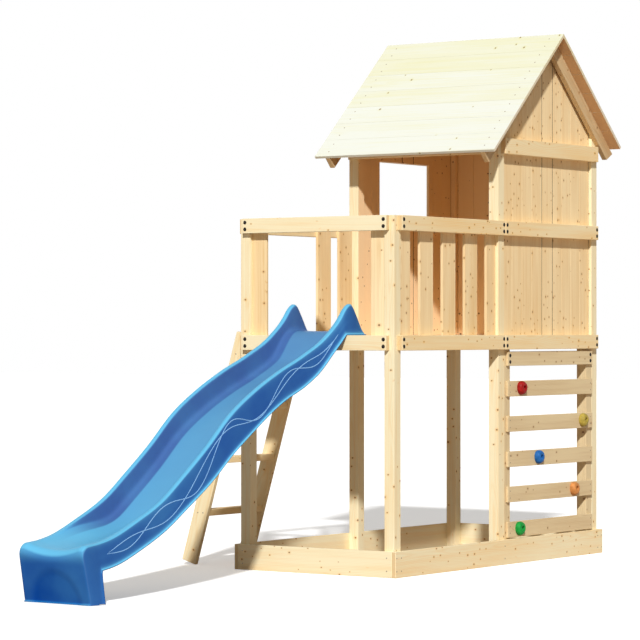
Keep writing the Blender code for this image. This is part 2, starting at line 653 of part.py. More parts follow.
def build_slide():
    """One moulded shell: the section carried along the three paths, flared and dented at the foot, and
    given its wall by a Solidify modifier."""
    floor, rim, skirt, opened = slide_paths()
    half = slide_section()
    section = np.vstack([half[:0:-1] * (-1.0, 1.0, 1.0), half])
    out, rise, fall = section.T
    hollow = np.minimum(1.0, np.abs(out) / (SLIDE_FLOOR_WIDTH / 2 + SLIDE_WALL_LEAN)) ** 2
    rise = rise + (hollow - rise) * opened[:, None]
    stations, across = len(floor), len(section)
    turn = SLIDE_LIP_STATIONS + SLIDE_RUN_STATIONS - 2
    at_foot = np.clip((np.arange(stations) - turn) / SLIDE_END_STATIONS, 0.0, 1.0)
    grid = np.zeros((stations, across, 3))
    grid[..., 0] = out * (1.0 + SLIDE_END_FLARE * at_foot[:, None])
    for k in range(2):
        rising = (rim - floor)[:, k, None] * rise
        falling = (skirt - rim)[:, k, None] * fall
        grid[..., k + 1] = floor[:, k, None] + rising + falling
    radial = np.hypot(grid[..., 0] / (SLIDE_ARCH_WIDTH / 2), grid[..., 2] / SLIDE_ARCH_HEIGHT)
    on_face = (at_foot[:, None] > 0.0) & (fall == 0.0)
    grid[..., 1] += SLIDE_ARCH_DEPTH * smooth_step((1.0 - radial) / SLIDE_ARCH_EDGE_SHARE) * on_face
    faces = []
    for i in range(stations - 1):
        for j in range(across - 1):
            a = i * across + j
            faces.append((a, a + across, a + across + 1, a + 1))
    mesh = mesh_from("slide", grid.reshape(-1, 3), faces)
    mesh.shade_smooth()
    mesh.set_sharp_from_angle(angle=math.radians(50))
    slide = add_object("slide", mesh, SLIDE_BLUE)
    wall = slide.modifiers.new("wall", "SOLIDIFY")
    wall.thickness = SLIDE_SHELL
    wall.offset = -1.0
    wall.use_even_offset = True


def place_origin():
    """Moves the whole playhouse so that the origin lies under the middle of its box, on the ground."""
    bpy.context.view_layer.update()
    corners = []
    depsgraph = bpy.context.evaluated_depsgraph_get()
    for item in playhouse.children:
        if not item.hide_render:
            evaluated = item.evaluated_get(depsgraph)
            corners += [evaluated.matrix_world @ v.co for v in evaluated.data.vertices]
    corners = np.array(corners)
    middle = (corners.min(axis=0) + corners.max(axis=0)) / 2
    playhouse.location = (-middle[0], -middle[1], -corners[:, 2].min())


clear_scene()
playhouse = bpy.data.objects.new("playhouse", None)
bpy.context.collection.objects.link(playhouse)
all_posts = build_posts(build_rails())
build_platform(all_posts)
build_walls()
build_balustrade()
build_roof()
build_sandbox()
build_climbing_wall()
build_ladder()
build_slide()
place_origin()
bpy.context.view_layer.update()
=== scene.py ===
"""Looks of the stilt playhouse: planed spruce timber with knots and end grain, a moulded slide, climbing
stones, bolts and screws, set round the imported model."""

import math

import bpy
import numpy as np
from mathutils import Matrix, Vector


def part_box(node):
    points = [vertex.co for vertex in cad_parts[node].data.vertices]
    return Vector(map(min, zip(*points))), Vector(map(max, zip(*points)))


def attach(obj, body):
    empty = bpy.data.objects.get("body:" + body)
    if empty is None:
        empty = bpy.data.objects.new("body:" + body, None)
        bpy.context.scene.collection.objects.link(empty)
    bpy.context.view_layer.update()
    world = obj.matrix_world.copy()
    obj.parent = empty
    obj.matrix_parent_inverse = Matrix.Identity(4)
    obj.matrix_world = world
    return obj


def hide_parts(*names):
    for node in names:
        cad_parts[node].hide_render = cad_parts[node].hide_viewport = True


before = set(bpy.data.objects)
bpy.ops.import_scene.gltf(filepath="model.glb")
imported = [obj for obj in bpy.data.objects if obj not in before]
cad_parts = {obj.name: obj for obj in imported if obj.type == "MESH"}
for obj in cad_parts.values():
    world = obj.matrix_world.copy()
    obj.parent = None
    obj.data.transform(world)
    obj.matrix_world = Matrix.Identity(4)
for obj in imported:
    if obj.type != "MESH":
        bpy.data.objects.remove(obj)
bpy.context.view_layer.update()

rng = np.random.default_rng(11)

# Clearances and small sizes of the joinery, in metres
GAP = 0.0003
ARRIS = 0.0025
BOARD_ARRIS = 0.0040
WALL_ARRIS = BOARD_ARRIS / 6
ROOF_ARRIS = BOARD_ARRIS / 10
BOARD_END_ARRIS = 0.0008
ROOF_END_ARRIS = 0.0006
BOARD_JOINT = 0.0008
WIDE_JOINT = 0.0085
EDGE_JOINT = 0.0050
TONGUE_SINK = 0.0012
BUTT_GAP = 0.0015
CORNER_STEPS = 3
POST_MIDDLES = 0.0004
LEVEL_DIGITS = 6

# Numbers of boards. A side wall has some before, between and after its two joints darkened by painted
# shadow
WALL_BOARDS = (4, 1, 4)
BACK_BOARDS = 8
DECK_BOARDS = 19
CLIMB_BOARDS = 6
TREADS = 4

# Tones of the timber: the higher, the deeper
PALE_TONE = 0.0
# Timbers along the sides are deeper, a painted shade on their sideways faces
SIDE_RAIL_SHADE_TONE = 0.8
LOW_SIDE_SHADE_TONE = 0.2
BATTEN_TONES = (-0.1, 0.1)
CLIMB_TONE = 0.1
WALL_TONES = (0.3, 0.7)
JOINT_TONE = 0.5
RAFTER_TONE = 1.6
RIDGE_TONE = 1.0
EAVE_TONE = -0.3
ROOF_TONES = (-0.3, 0.3)

# Bolts and screws: distances, the shares of a board at which pairs stand, outlines as radius and height
BOLT_FROM_END = 0.020
SCREW_FROM_END = 0.014
SCREW_FROM_TOWER = 0.022
BOLT_PAIR = (0.27, 0.73)
CLIMB_PAIR = (0.28, 0.72)
TREAD_PAIR = (0.3, 0.7)
SANDBOX_PAIR = (0.25, 0.75)
BOLT_OUTLINE = ((0.0003, 0.0062), (0.0030, 0.0058), (0.0058, 0.0046), (0.0078, 0.0024),
                (0.0082, 0.0013), (0.0112, 0.0012), (0.0117, 0.0008), (0.0118, -0.0005),
                (0.0003, -0.0005))
SCREW_OUTLINE = ((0.0003, 0.0002), (0.0014, 0.0002), (0.0017, 0.0006), (0.0036, 0.0007),
                 (0.0042, 0.0004), (0.0043, -0.0006), (0.0003, -0.0006))
BOLT_SIDES = 24
SCREW_SIDES = 16

# Climbing stones: the outline in shares of radius and height, how finely it is drawn and its waviness
STONE_COLOURS = ("red", "yellow", "blue", "orange", "green")
STONE_OUTLINE = ((0.0, 0.55), (0.29, 0.55), (0.335, 0.62), (0.345, 0.93), (0.42, 1.0), (0.62, 0.97),
                 (0.80, 0.87), (0.94, 0.62), (1.0, 0.32), (0.985, 0.08), (0.95, 0.0), (0.0, 0.0))
STONE_RINGS = 44
STONE_SIDES = 64
STONE_TIP = 0.0005
STONE_WOBBLE = 0.035
WOBBLE_TURN = 0.7

# Ladder: how far out its feet stand, how far below the platform its seat begins, and its stringers
LADDER_REACH = 0.407
LADDER_SEAT = 0.066
STRINGER_WIDTH = 0.105
SEAT_LEVELS = 4

# Slide: run and heights as built, then its section, waves and foot
SLIDE_RUN = 2.410
SLIDE_SHELL = 0.005
SLIDE_LIP_LENGTH = 0.165
SLIDE_LIP_RISE = 0.025
SLIDE_LIP_FALL = 0.240
SLIDE_FLOOR_WIDTH = 0.352
SLIDE_WALL_LEAN = 0.009
SLIDE_RIM_WIDTH = 0.036
SLIDE_SKIRT_LEAN = 0.022
SLIDE_FLANGE = 0.008
SLIDE_SKIRT = 0.200
SLIDE_TROUGH = 0.130
SLIDE_END_TROUGH = 0.030
SLIDE_END_RIM = 0.316
SLIDE_END_ROUNDING = 0.055
SLIDE_END_BULGE = 0.070
SLIDE_END_RETURN = 0.075
SLIDE_END_FLARE = 0.055
SLIDE_FOOT_CLEARANCE = 0.002
SLIDE_HEEL_HEIGHT = 0.165
SLIDE_HEEL_ROUNDING = 0.040
SLIDE_ARCH_WIDTH = 0.372
SLIDE_ARCH_HEIGHT = 0.205
SLIDE_ARCH_DEPTH = 0.006
SLIDE_ARCH_EDGE = 0.26
SLIDE_UNDER_LIFT = 0.0008
SLIDE_STATIONS = (14, 110, 46)
SLIDE_ACROSS = 62
SLIDE_CLOSEST = 0.0012
BEND_STEPS = 25
TROUGH_OPENS = (0.70, 0.96)
# Height of the rim over the run, as shares of the drop and of the run
RIM_WAVE = (
    (-0.070, 1.022), (-0.044, 1.115), (-0.023, 1.168), (-0.004, 1.150), (0.021, 1.092),
    (0.079, 0.998), (0.180, 0.895), (0.280, 0.814), (0.377, 0.721), (0.471, 0.606),
    (0.565, 0.444), (0.656, 0.304), (0.727, 0.201), (0.832, 0.099), (0.917, 0.033), (1.0, 0.0),
)
# How far the skirt hangs down over the run, as shares of its full depth
SKIRT_HANG = ((-0.070, 0.50), (0.010, 0.51), (0.079, 0.57), (0.133, 0.74), (0.300, 0.87),
              (0.450, 1.03), (0.565, 0.95), (0.727, 0.765), (0.830, 0.75), (1.0, 0.70))
# Half of the section: place across it (floor, wall, rim, skirt and flange count one each), climb, fall
SLIDE_SECTION = (
    (0.0, 0.0, 0.0), (0.25, 0.0, 0.0), (0.50, 0.0, 0.0), (0.72, 0.005, 0.0), (0.88, 0.03, 0.0),
    (0.96, 0.10, 0.0), (1.0, 0.24, 0.0), (1.5, 0.62, 0.0), (2.0, 0.93, 0.0), (2.25, 0.99, 0.0),
    (2.60, 1.0, 0.0), (2.88, 1.0, 0.03), (3.0, 1.0, 0.12), (3.5, 1.0, 0.55), (4.0, 1.0, 0.97),
    (5.0, 1.0, 1.0),
)

# Slide's colours: where the painted shade of walls, skirts and arch, the rims and the painted highlight
# at the foot begin, and how softly they fade
WALL_MARK = (0.66, 0.07)
RIM_MARK = (0.90, 0.98)
SKIRT_MARK_FADE = 0.10
TOP_SIDE = 0.02
ARCH_SHADE_MARK = 1.04
HIGH_FALL = 0.75
HIGH_FADE = (0.65, 0.25)
FOOT_FADE = 0.11
FOOT_FADE_SHARE = 0.7
FOOT_EDGE = 0.014
FOOT_EDGE_SHARE = 0.4

# Raised lines: the band of the skirt they keep to, stations left free, tapering ends and strip size
LINE_BAND = (0.12, 0.93)
LINE_FREE = (2, 5)
LINE_STEPS = 420
LINE_TAPER = 0.04
LINE_TIP = (0.3, 0.2)
LINE_WIDTH = 0.0060
LINE_RISE = 0.0012
# Cycles, phase, swing and place of each wave
LINE_WAVES = ((3.5, 0.0, 0.37, 0.50), (2.5, 2.4, 0.33, 0.50))
# Outline of the strip, in shares of its width and rise
LINE_OUTLINE = ((-0.5, -0.35), (-0.36, 0.55), (0.0, 1.0), (0.36, 0.55), (0.5, -0.35))

# Angles, in degrees, over which an edge stays sharp
SLIDE_SHARP = 50
TURNED_SHARP = 35

# Camera, from the front right post's foot: where it stands, which way it looks and its lens
CAMERA_FROM_POST = (9.631, -14.556, 1.466)
CAMERA_TURN = 0.6096
CAMERA_LENS = 166.35
CAMERA_SHIFT = 0.0148
CAMERA_REACH = 200.0
FILM_WIDTH = 36.0

# Light: direction towards the sun lamp, its strength and softness, and the sky's strength
SUN_TOWARDS = (1.14, -1.66, 1.33)
SUN_STRENGTH = 3.55
SUN_SOFTNESS = math.radians(2.5)
SKY_STRENGTH = 0.22
SKY_COLOUR = (1.0, 0.94, 0.85)
FLOOR_HALF = 60.0
FLOOR_COLOUR = (0.50, 0.390, 0.315)
FLOOR_LIFT = 0.36
WHITE = (1.0, 1.0, 1.0)

# Softwood: the wandering pith below a board, its rings, and knots in cells along and round it
PITH_SWAY = 0.10
PITH_DIVE = 0.06
PITH_DEPTH = 0.035
RING_SPACING = 0.0085
RING_RIPPLE = 0.004
RING_SHARPNESS = 2.5
KNOT_SPACING = (0.072, 0.095)
KNOT_WRAP = 1.7
KNOT_SIZE = (0.040, 0.052)
KNOT_EDGE = (0.75, 1.15)
KNOT_HALO = (0.9, 3.4)
KNOT_COLOUR = (0.17, 0.070, 0.028)
KNOT_SHARE = 0.85
END_COLOUR = (0.66, 0.45, 0.21)
END_SHARE = 0.65
# How much of the painted shade colour shows where the shade mask is set
PAINTED_SHADE_SHARE = 0.94
# Noise in the wood: cells to a metre along the board and round it, then the detail
WOOD_NOISE = {"sway": (1.3, 2.0, 1.0), "ripple": (5.0, 40.0, 2.0), "fibre": (9.0, 420.0, 3.0),
              "streak": (1.6, 46.0, 3.0), "broad": (1.1, 7.0, 2.0), "crowd": (1.7, 5.0, 1.0)}
# Ends of the ramps that some of the noise goes through
WOOD_RAMPS = {"streak": (0.35, 0.75), "broad": (0.3, 0.7), "crowd": (0.36, 0.66)}
# How much each mark deepens, roughens and raises the wood, and where shade and roughness start
PLAIN_SHADE = -0.23
WOOD_SHADE = {"tone": 0.36, "broad": 0.26, "figure": 0.50, "streak": 0.26, "fibre": 0.16, "halo": 0.45}
PLAIN_ROUGHNESS = 0.62
WOOD_ROUGHNESS = {"rings": -0.06, "fibre": 0.12}
WOOD_HEIGHT = {"rings": -0.25, "fibre": 0.5, "knot": -0.6}
# How far down a roof board's face looks where its painted shade colour starts and is full
UNDERSIDE_SHADE = (0.685, 0.725)
# Largest random shift of a board's grain, along it and across it
GRAIN_START = 40
GRAIN_SHIFT = 0.03


def corner_box(*nodes):
    """Lowest and highest corner of the nodes together."""
    corners = [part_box(node) for node in nodes]
    return np.min([c[0] for c in corners], axis=0), np.max([c[1] for c in corners], axis=0)


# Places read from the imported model
POST_LOW, POST_HIGH = corner_box("post_front_left", "post_front_right")
MIDDLE_LOW, MIDDLE_HIGH = corner_box("post_middle_left", "post_middle_right")
BACK_LOW, BACK_HIGH = corner_box("post_back_left", "post_back_right")
TOWER_LOW, TOWER_HIGH = corner_box("post_front_left", "post_back_right")
ROOF_LOW, ROOF_HIGH = corner_box("roof_front", "roof_back")
DECK_LOW, DECK_HIGH = corner_box("deck")
POST_ROWS = ((POST_LOW, POST_HIGH), (MIDDLE_LOW, MIDDLE_HIGH), (BACK_LOW, BACK_HIGH))
POST_SIDE = POST_HIGH[1] - POST_LOW[1]
POST_JOINT = (MIDDLE_LOW[1] + MIDDLE_HIGH[1]) / 2
CENTRE_X = (TOWER_LOW[0] + TOWER_HIGH[0]) / 2
CABIN_MIDDLE = (MIDDLE_LOW[1] + BACK_HIGH[1]) / 2
RIDGE = ROOF_HIGH[2]
PLATFORM_TOP = DECK_HIGH[2]
RAIL_FACE = corner_box("platform_rail_front")[0][1]
HOUSING = corner_box("platform_rail_front")[1][1] - POST_LOW[1]

# Sizes of the cabin that the boxes don't tell
ROOF_ANGLE = math.radians(42.5)
ROOF_THICKNESS = 0.018
RAFTER_DEPTH = 0.082
RAFTER_TAIL = 0.042
RAFTER_TAIL_CUT = 0.026
WALL_SKIN = 0.006
MIDDLE_BOARD = 0.133
MIDDLE_BOARD_SHIFT = 0.016
WINDOW_WIDTH = 0.589
WINDOW_SHIFT = -0.026

# Roof slopes: node, which way it falls, rows of boards and the place of its eave
ROOF_SLOPES = (("roof_front", -1, 7, ROOF_LOW[1]), ("roof_back", 1, 6, ROOF_HIGH[1]))
BOLTED_RAILS = ("platform_rail_front", "platform_rail_left", "platform_rail_right",
                "platform_rail_back", "railing_front", "railing_left", "railing_right")
RAILS = BOLTED_RAILS + ("cabin_rail_front", "cabin_rail_left", "cabin_rail_right", "cabin_rail_back")
BALUSTERS = ("baluster_right_1", "baluster_right_2", "baluster_right_3", "baluster_right_4",
             "baluster_right_5", "baluster_left_1", "baluster_left_2", "front_board_left",
             "front_board_right")
AXES = np.eye(3)


# Node helpers

class Nodes:
    """Writes shader nodes one call at a time. Inputs may be sockets or plain values."""

    def __init__(self, tree):
        self.tree = tree

    def new(self, kind, settings=None, **inputs):
        node = self.tree.nodes.new("ShaderNode" + kind)
        for key, value in (settings or {}).items():
            setattr(node, key, value)
        for key, value in inputs.items():
            self.feed(node.inputs[key.replace("_", " ")], value)
        return node

    def feed(self, socket, value):
        if isinstance(value, bpy.types.NodeSocket):
            self.tree.links.new(value, socket)
        else:
            socket.default_value = value

    def math(self, operation, *values, clamp=False):
        node = self.new("Math", {"operation": operation, "use_clamp": clamp})
        for socket, value in zip(node.inputs, values):
            self.feed(socket, value)
        return node.outputs[0]

    def weigh(self, start, weights, parts):
        """The start value plus each weighted part."""
        for name, weight in weights.items():
            start = self.math("MULTIPLY_ADD", parts[name], weight, start)
        return start

    def one_minus(self, value):
        return self.math("SUBTRACT", 1.0, value)

    def mix(self, factor, a, b, blend="MIX"):
        node = self.new("Mix", {"data_type": "RGBA", "blend_type": blend})
        sockets = {socket.identifier: socket for socket in node.inputs}
        for name, value in (("Factor_Float", factor), ("A_Color", a), ("B_Color", b)):
            if isinstance(value, tuple) and len(value) == 3:
                value = (*value, 1.0)
            self.feed(sockets[name], value)
        return next(s for s in node.outputs if s.identifier == "Result_Color")

    def ramp(self, value, low, high):
        """Zero below low, one above high and smooth between."""
        return self.new("MapRange", {"interpolation_type": "SMOOTHSTEP"}, Value=value,
                        From_Min=low, From_Max=high).outputs["Result"]

    def stretch(self, vector, scale):
        return self.new("Mapping", Vector=vector, Scale=scale).outputs["Vector"]

    def noise(self, vector, scale=1.0, detail=2.0):
        return self.new("TexNoise", Vector=vector, Scale=scale, Detail=detail).outputs["Fac"]

    def split(self, vector):
        return self.new("SeparateXYZ", Vector=vector).outputs

    def coordinate(self, kind="Object"):
        return self.new("TexCoord").outputs[kind]

    def attribute(self, name, kind="Vector"):
        return self.new("Attribute", {"attribute_name": name}).outputs[kind]


def new_group(name, inputs, outputs):
    """An empty shader group with named sockets. Returns it, its node writer and its two ends."""
    group = bpy.data.node_groups.new(name, "ShaderNodeTree")
    for way, sockets in (("INPUT", inputs), ("OUTPUT", outputs)):
        for label, kind in sockets.items():
            group.interface.new_socket(label, in_out=way, socket_type="NodeSocket" + kind)
    start = group.nodes.new("NodeGroupInput")
    end = group.nodes.new("NodeGroupOutput")
    return group, Nodes(group), start.outputs, end.inputs


def wood_group():
    """Sawn softwood. The grain vector runs along, across and through a board. Growth rings are circles
    round a wandering pith below the board, so they show as lines and arches on the faces and as arcs
    on the ends. Fibres are noise drawn out along the board. Knots are cells along and round it, that
    gather where a slow noise is high. Where the shade mask is set, faces take on a painted shade
    colour, which stands in for shade and warm bounce light."""
    group, n, given, result = new_group(
        "softwood",
        {"Grain": "Vector", "Tone": "Float", "End": "Float", "Pale": "Color", "Deep": "Color",
         "Knots": "Float", "Figure": "Float", "Ends": "Float", "Inside": "Float", "Inner": "Color"},
        {"Color": "Color", "Roughness": "Float", "Height": "Float"})
    grain = given["Grain"]
    along, across, depth = n.split(grain)
    parts = {"tone": given["Tone"]}
    for name, (lengthways, round_it, detail) in WOOD_NOISE.items():
        parts[name] = n.noise(n.stretch(grain, (lengthways, round_it, round_it)), detail=detail)
    for name, ends in WOOD_RAMPS.items():
        parts[name] = n.ramp(parts[name], *ends)

    sway = parts["sway"]
    side = n.math("ADD", across, n.math("MULTIPLY_ADD", sway, PITH_SWAY, -PITH_SWAY / 2))
    under = n.math("ADD", depth, n.math("MULTIPLY_ADD", sway, PITH_DIVE, PITH_DEPTH))
    radius = n.math("SQRT", n.math("ADD", n.math("MULTIPLY", side, side),
                                   n.math("MULTIPLY", under, under)))
    radius = n.math("MULTIPLY_ADD", parts["ripple"], RING_RIPPLE, radius)
    wave = n.math("SINE", n.math("MULTIPLY", radius, 2 * math.pi / RING_SPACING))
    parts["rings"] = n.math("POWER", n.math("MULTIPLY_ADD", wave, 0.5, 0.5), RING_SHARPNESS)
    parts["figure"] = n.math("MULTIPLY", parts["rings"], given["Figure"])

    around = n.math("MULTIPLY_ADD", depth, KNOT_WRAP, across)
    plane = n.new("CombineXYZ", X=n.math("MULTIPLY", along, 1 / KNOT_SPACING[0]),
                  Y=n.math("MULTIPLY", around, 1 / KNOT_SPACING[1])).outputs[0]
    cells = n.new("TexVoronoi", {"voronoi_dimensions": "2D"}, Vector=plane, Scale=1.0)
    chance, bulk, _ = n.new("SeparateColor", Color=cells.outputs["Color"]).outputs
    chosen = n.math("LESS_THAN", chance, n.math("MULTIPLY", given["Knots"], parts["crowd"]))
    size = n.math("MULTIPLY_ADD", bulk, KNOT_SIZE[1], KNOT_SIZE[0])
    distance = n.math("DIVIDE", cells.outputs["Distance"], size)
    for name, reach in (("knot", KNOT_EDGE), ("halo", KNOT_HALO)):
        parts[name] = n.math("MULTIPLY", n.one_minus(n.ramp(distance, *reach)), chosen)

    shade = n.math("ADD", n.weigh(PLAIN_SHADE, WOOD_SHADE, parts), 0.0, clamp=True)
    colour = n.mix(shade, given["Pale"], given["Deep"])
    colour = n.mix(n.math("MULTIPLY", given["End"], given["Ends"]), colour, END_COLOUR)
    # Painted shade and warm bounce light where the shade mask is set
    colour = n.mix(n.math("MULTIPLY", given["Inside"], PAINTED_SHADE_SHARE), colour, given["Inner"])
    colour = n.mix(n.math("MULTIPLY", parts["knot"], KNOT_SHARE), colour, KNOT_COLOUR)
    n.feed(result["Color"], colour)
    n.feed(result["Roughness"], n.weigh(PLAIN_ROUGHNESS, WOOD_ROUGHNESS, parts))
    n.feed(result["Height"], n.weigh(0.0, WOOD_HEIGHT, parts))
    return group


def cabin_group():
    """One inside the cabin's walls, from the deck up, and nought outside: the place is carried to a box
    of half size one round nought, and its largest coordinate is compared with one. It marks where the
    wood takes its painted shade and warm bounce light."""
    group, n, given, result = new_group("cabin_painted_shade", {"Place": "Vector"}, {"Inside": "Float"})
    low = np.array([corner_box("wall_left")[0][0], MIDDLE_LOW[1], DECK_LOW[2]]) + WALL_SKIN
    high = np.array([corner_box("wall_right")[1][0], corner_box("wall_back")[1][1], RIDGE]) - WALL_SKIN
    boxed = n.new("Mapping", Vector=given["Place"], Scale=2 / (high - low),
                  Location=-(high + low) / (high - low))
    x, y, z = [n.math("ABSOLUTE", part) for part in n.split(boxed.outputs["Vector"])]
    largest = n.math("MAXIMUM", x, n.math("MAXIMUM", y, z))
    n.feed(result["Inside"], n.math("LESS_THAN", largest, 1.0))
    return group


SOFTWOOD = wood_group()
CABIN_SHADE_MASK = cabin_group()


def principled(name):
    material = bpy.data.materials.new(name)
    material.use_nodes = True
    tree = material.node_tree
    return material, Nodes(tree), tree.nodes["Principled BSDF"]


def dress(n, shader, colour, rough, specular, height=None, strength=0.0, depth=0.0):
    """Gives the shader its colour, roughness and shine, and a skin that the height raises."""
    n.feed(shader.inputs["Base Color"], colour)
    n.feed(shader.inputs["Roughness"], rough)
    shader.inputs["Specular IOR Level"].default_value = specular
    if height is not None:
        bump = n.new("Bump", Strength=strength, Distance=depth, Height=height)
        n.feed(shader.inputs["Normal"], bump.outputs["Normal"])


def wood_material(name, pale, deep, inner, knots, figure, under=False, ends=END_SHARE):
    """Softwood with its own colours. The grain, the board's tone and the end faces come from the mesh.
    The painted shade colour shows inside the cabin, where it stands in for shade and warm bounce light,
    or on faces that look down, where it stands in for the shade under them."""
    material, n, shader = principled(name)
    if under:
        # Painted shade under the roof: faces that look down take the painted shade colour
        _, _, upward = n.split(n.coordinate("Normal"))
        inside = n.ramp(n.math("MULTIPLY", upward, -1.0), *UNDERSIDE_SHADE)
    else:
        # Painted shade and warm bounce light inside the cabin
        inside = n.new("Group", {"node_tree": CABIN_SHADE_MASK}, Place=n.coordinate()).outputs["Inside"]
    wood = n.new("Group", {"node_tree": SOFTWOOD}, Grain=n.attribute("grain"),
                 Tone=n.attribute("tone", "Fac"), End=n.attribute("end", "Fac"), Pale=(*pale, 1.0),
                 Deep=(*deep, 1.0), Knots=knots, Figure=figure, Ends=ends, Inside=inside,
                 Inner=(*inner, 1.0)).outputs
    dress(n, shader, wood["Color"], wood["Roughness"], specular=0.28, height=wood["Height"],
          strength=0.25, depth=0.0006)
    return material


def slide_plastic(name, wall, skirt, top, front):
    """Moulded plastic with a faint mottle and an orange-peel skin, in lit and shaded copies of one
    colour:
    painted sky light makes it paler where it lies to the sky, and painted shade a little deeper on the
    faces square to the run. The mesh marks the painted shade of the trough's walls, the skirts and the
    foot's arch, and fades tell how high up the trough a point lies and where the foot's edges take a
    painted highlight."""
    material, n, shader = principled(name)
    place = n.coordinate()
    wall_shade, on_skirt, arch_shade = n.split(n.attribute("marks"))
    high_up, foot_highlight, _ = n.split(n.attribute("fades"))
    _, facing_y, facing_z = n.split(n.coordinate("Normal"))
    # Painted sky light on faces that look up, kept off the walls' painted shade; painted shade on faces
    # square to the run
    off_wall = n.one_minus(wall_shade)
    upward = n.math("MULTIPLY", n.ramp(facing_z, low=0.10, high=0.62), off_wall)
    # Painted highlight: the foot's upper edge and a thin line at its bottom take the pale top colour
    upward = n.math("MAXIMUM", upward, foot_highlight)
    front_shade = n.math("MULTIPLY", n.ramp(n.math("MULTIPLY", facing_y, -1.0), low=0.55, high=0.95),
                     off_wall)
    mottle = n.ramp(n.noise(place, scale=3.0, detail=3.0), low=0.3, high=0.8)
    scuff = n.ramp(n.noise(n.stretch(place, SCUFF_STRETCH), scale=2.0, detail=4.0), low=0.56, high=0.80)
    colour = n.mix(front_shade, n.mix(on_skirt, wall, skirt), front)
    colour = n.mix(upward, colour, n.mix(high_up, top, LIP_TINT, "MULTIPLY"))
    # Painted shade in the foot's arch
    colour = n.mix(arch_shade, colour, ARCH_SHADE_TINT, "MULTIPLY")
    colour = n.mix(n.math("MULTIPLY", mottle, MOTTLE_SHARE), colour, top)
    dress(n, shader, colour, n.math("MULTIPLY_ADD", scuff, *PLASTIC_ROUGHNESS), specular=0.02,
          height=n.noise(place, scale=140.0), strength=0.10, depth=0.0004)
    return material


def lighter(colour, factor, lift=0.0):
    return tuple(min(1.0, part * factor + lift) for part in colour)


def stone_resin(name, colour):
    """Cast resin with fine grit in it: a mottled colour and a sandy skin."""
    material, n, shader = principled(name)
    place = n.coordinate()
    swirl = n.ramp(n.noise(place, scale=38.0, detail=3.0), low=0.35, high=0.70)
    mottled = n.mix(swirl, lighter(colour, RESIN_DEEP), lighter(colour, *RESIN_PALE))
    dress(n, shader, mottled, n.math("MULTIPLY_ADD", swirl, *RESIN_ROUGHNESS), specular=0.15,
          height=n.noise(place, scale=420.0, detail=3.0), strength=0.30, depth=0.0008)
    return material


def fastener_steel(name, colour, metal, rough):
    """Coated steel with a faint cloud of wear."""
    material, n, shader = principled(name)
    cloud = n.noise(n.coordinate(), scale=160.0, detail=3.0)
    worn = n.mix(n.ramp(cloud, low=0.4, high=0.75), colour, lighter(colour, *STEEL_WORN))
    dress(n, shader, worn, n.math("MULTIPLY_ADD", cloud, STEEL_ROUGHNESS, rough), specular=0.12)
    shader.inputs["Metallic"].default_value = metal
    return material


# Colours, how strongly marks tint them, and what noise adds to the roughness of each surface
LIP_TINT = (0.72, 0.50, 0.62)
ARCH_SHADE_TINT = (0.17, 0.62, 0.88)
SCUFF_STRETCH = (26.0, 5.0, 5.0)
MOTTLE_SHARE = 0.16
PLASTIC_ROUGHNESS = (0.14, 0.30)
RESIN_DEEP = 0.80
RESIN_PALE = (1.18, 0.008)
RESIN_ROUGHNESS = (0.12, 0.46)
STEEL_WORN = (1.6, 0.01)
STEEL_ROUGHNESS = 0.2
# Painted shade colours: shade and warm bounce light in the cabin, shade under the roof and in the dark
# joints
PAINTED_SHADE_WOOD = (1.0, 0.73, 0.43)
PAINTED_SHADE_ROOF = (0.66, 0.39, 0.18)
PAINTED_SHADE_JOINT = (0.17, 0.09, 0.04)
LINE_PALE = (0.20, 0.42, 0.80)

FRAME_WOOD = wood_material("frame_spruce", (0.905, 0.81, 0.545), (0.86, 0.54, 0.19), PAINTED_SHADE_WOOD,
                           knots=0.72, figure=0.42)
BOARD_WOOD = wood_material("board_spruce", (0.96, 0.785, 0.48), (0.75, 0.48, 0.20), PAINTED_SHADE_WOOD,
                           knots=0.85, figure=0.50)
# Roof boards, with painted shade on the faces that look down
ROOF_WOOD = wood_material("roof_spruce", (0.78, 0.80, 0.72), (0.74, 0.72, 0.40), PAINTED_SHADE_ROOF,
                          knots=0.12, figure=0.26, under=True, ends=0.45)
DARK_WOOD = wood_material("dark_spruce", (0.76, 0.615, 0.37), (0.53, 0.35, 0.17), PAINTED_SHADE_WOOD,
                          knots=0.55, figure=0.45, ends=0.25)
# Dark wood laid in the wall's joints as a painted shadow
JOINT_SHADOW_WOOD = wood_material("joint_shadow", (0.17, 0.115, 0.060), (0.085, 0.055, 0.028), PAINTED_SHADE_JOINT,
                           knots=0.0, figure=0.50)
# Lit and shaded copies of one blue, for the slide and its lines: top is painted sky light on faces that
# look up; wall, skirt and front are painted shade on the other faces
SLIDE_BLUE = slide_plastic("slide_blue", wall=(0.058, 0.130, 0.350), skirt=(0.022, 0.096, 0.355),
                           top=(0.127, 0.475, 0.745), front=(0.014, 0.088, 0.340))
LINE_BLUE = slide_plastic("line_blue", wall=LINE_PALE, skirt=LINE_PALE, top=(0.30, 0.56, 0.84),
                          front=(0.20, 0.42, 0.78))
STONE_RESIN = {
    "red": (0.33, 0.007, 0.005), "yellow": (0.42, 0.32, 0.055), "blue": (0.014, 0.125, 0.400),
    "orange": (0.62, 0.25, 0.070), "green": (0.005, 0.280, 0.040),
}
BOLT_STEEL = fastener_steel("bolt_black", (0.016, 0.013, 0.011), metal=0.10, rough=0.45)
SCREW_STEEL = fastener_steel("screw_zinc", (0.30, 0.24, 0.17), metal=0.7, rough=0.40)


# Meshes and pieces

def new_mesh(name, points, faces, sharp=None):
    """A mesh from points and faces. With a sharp angle, it is smooth except over sharper edges."""
    mesh = bpy.data.meshes.new(name)
    mesh.from_pydata(points, [], faces)
    if sharp:
        mesh.shade_smooth()
        mesh.set_sharp_from_angle(angle=math.radians(sharp))
    return mesh


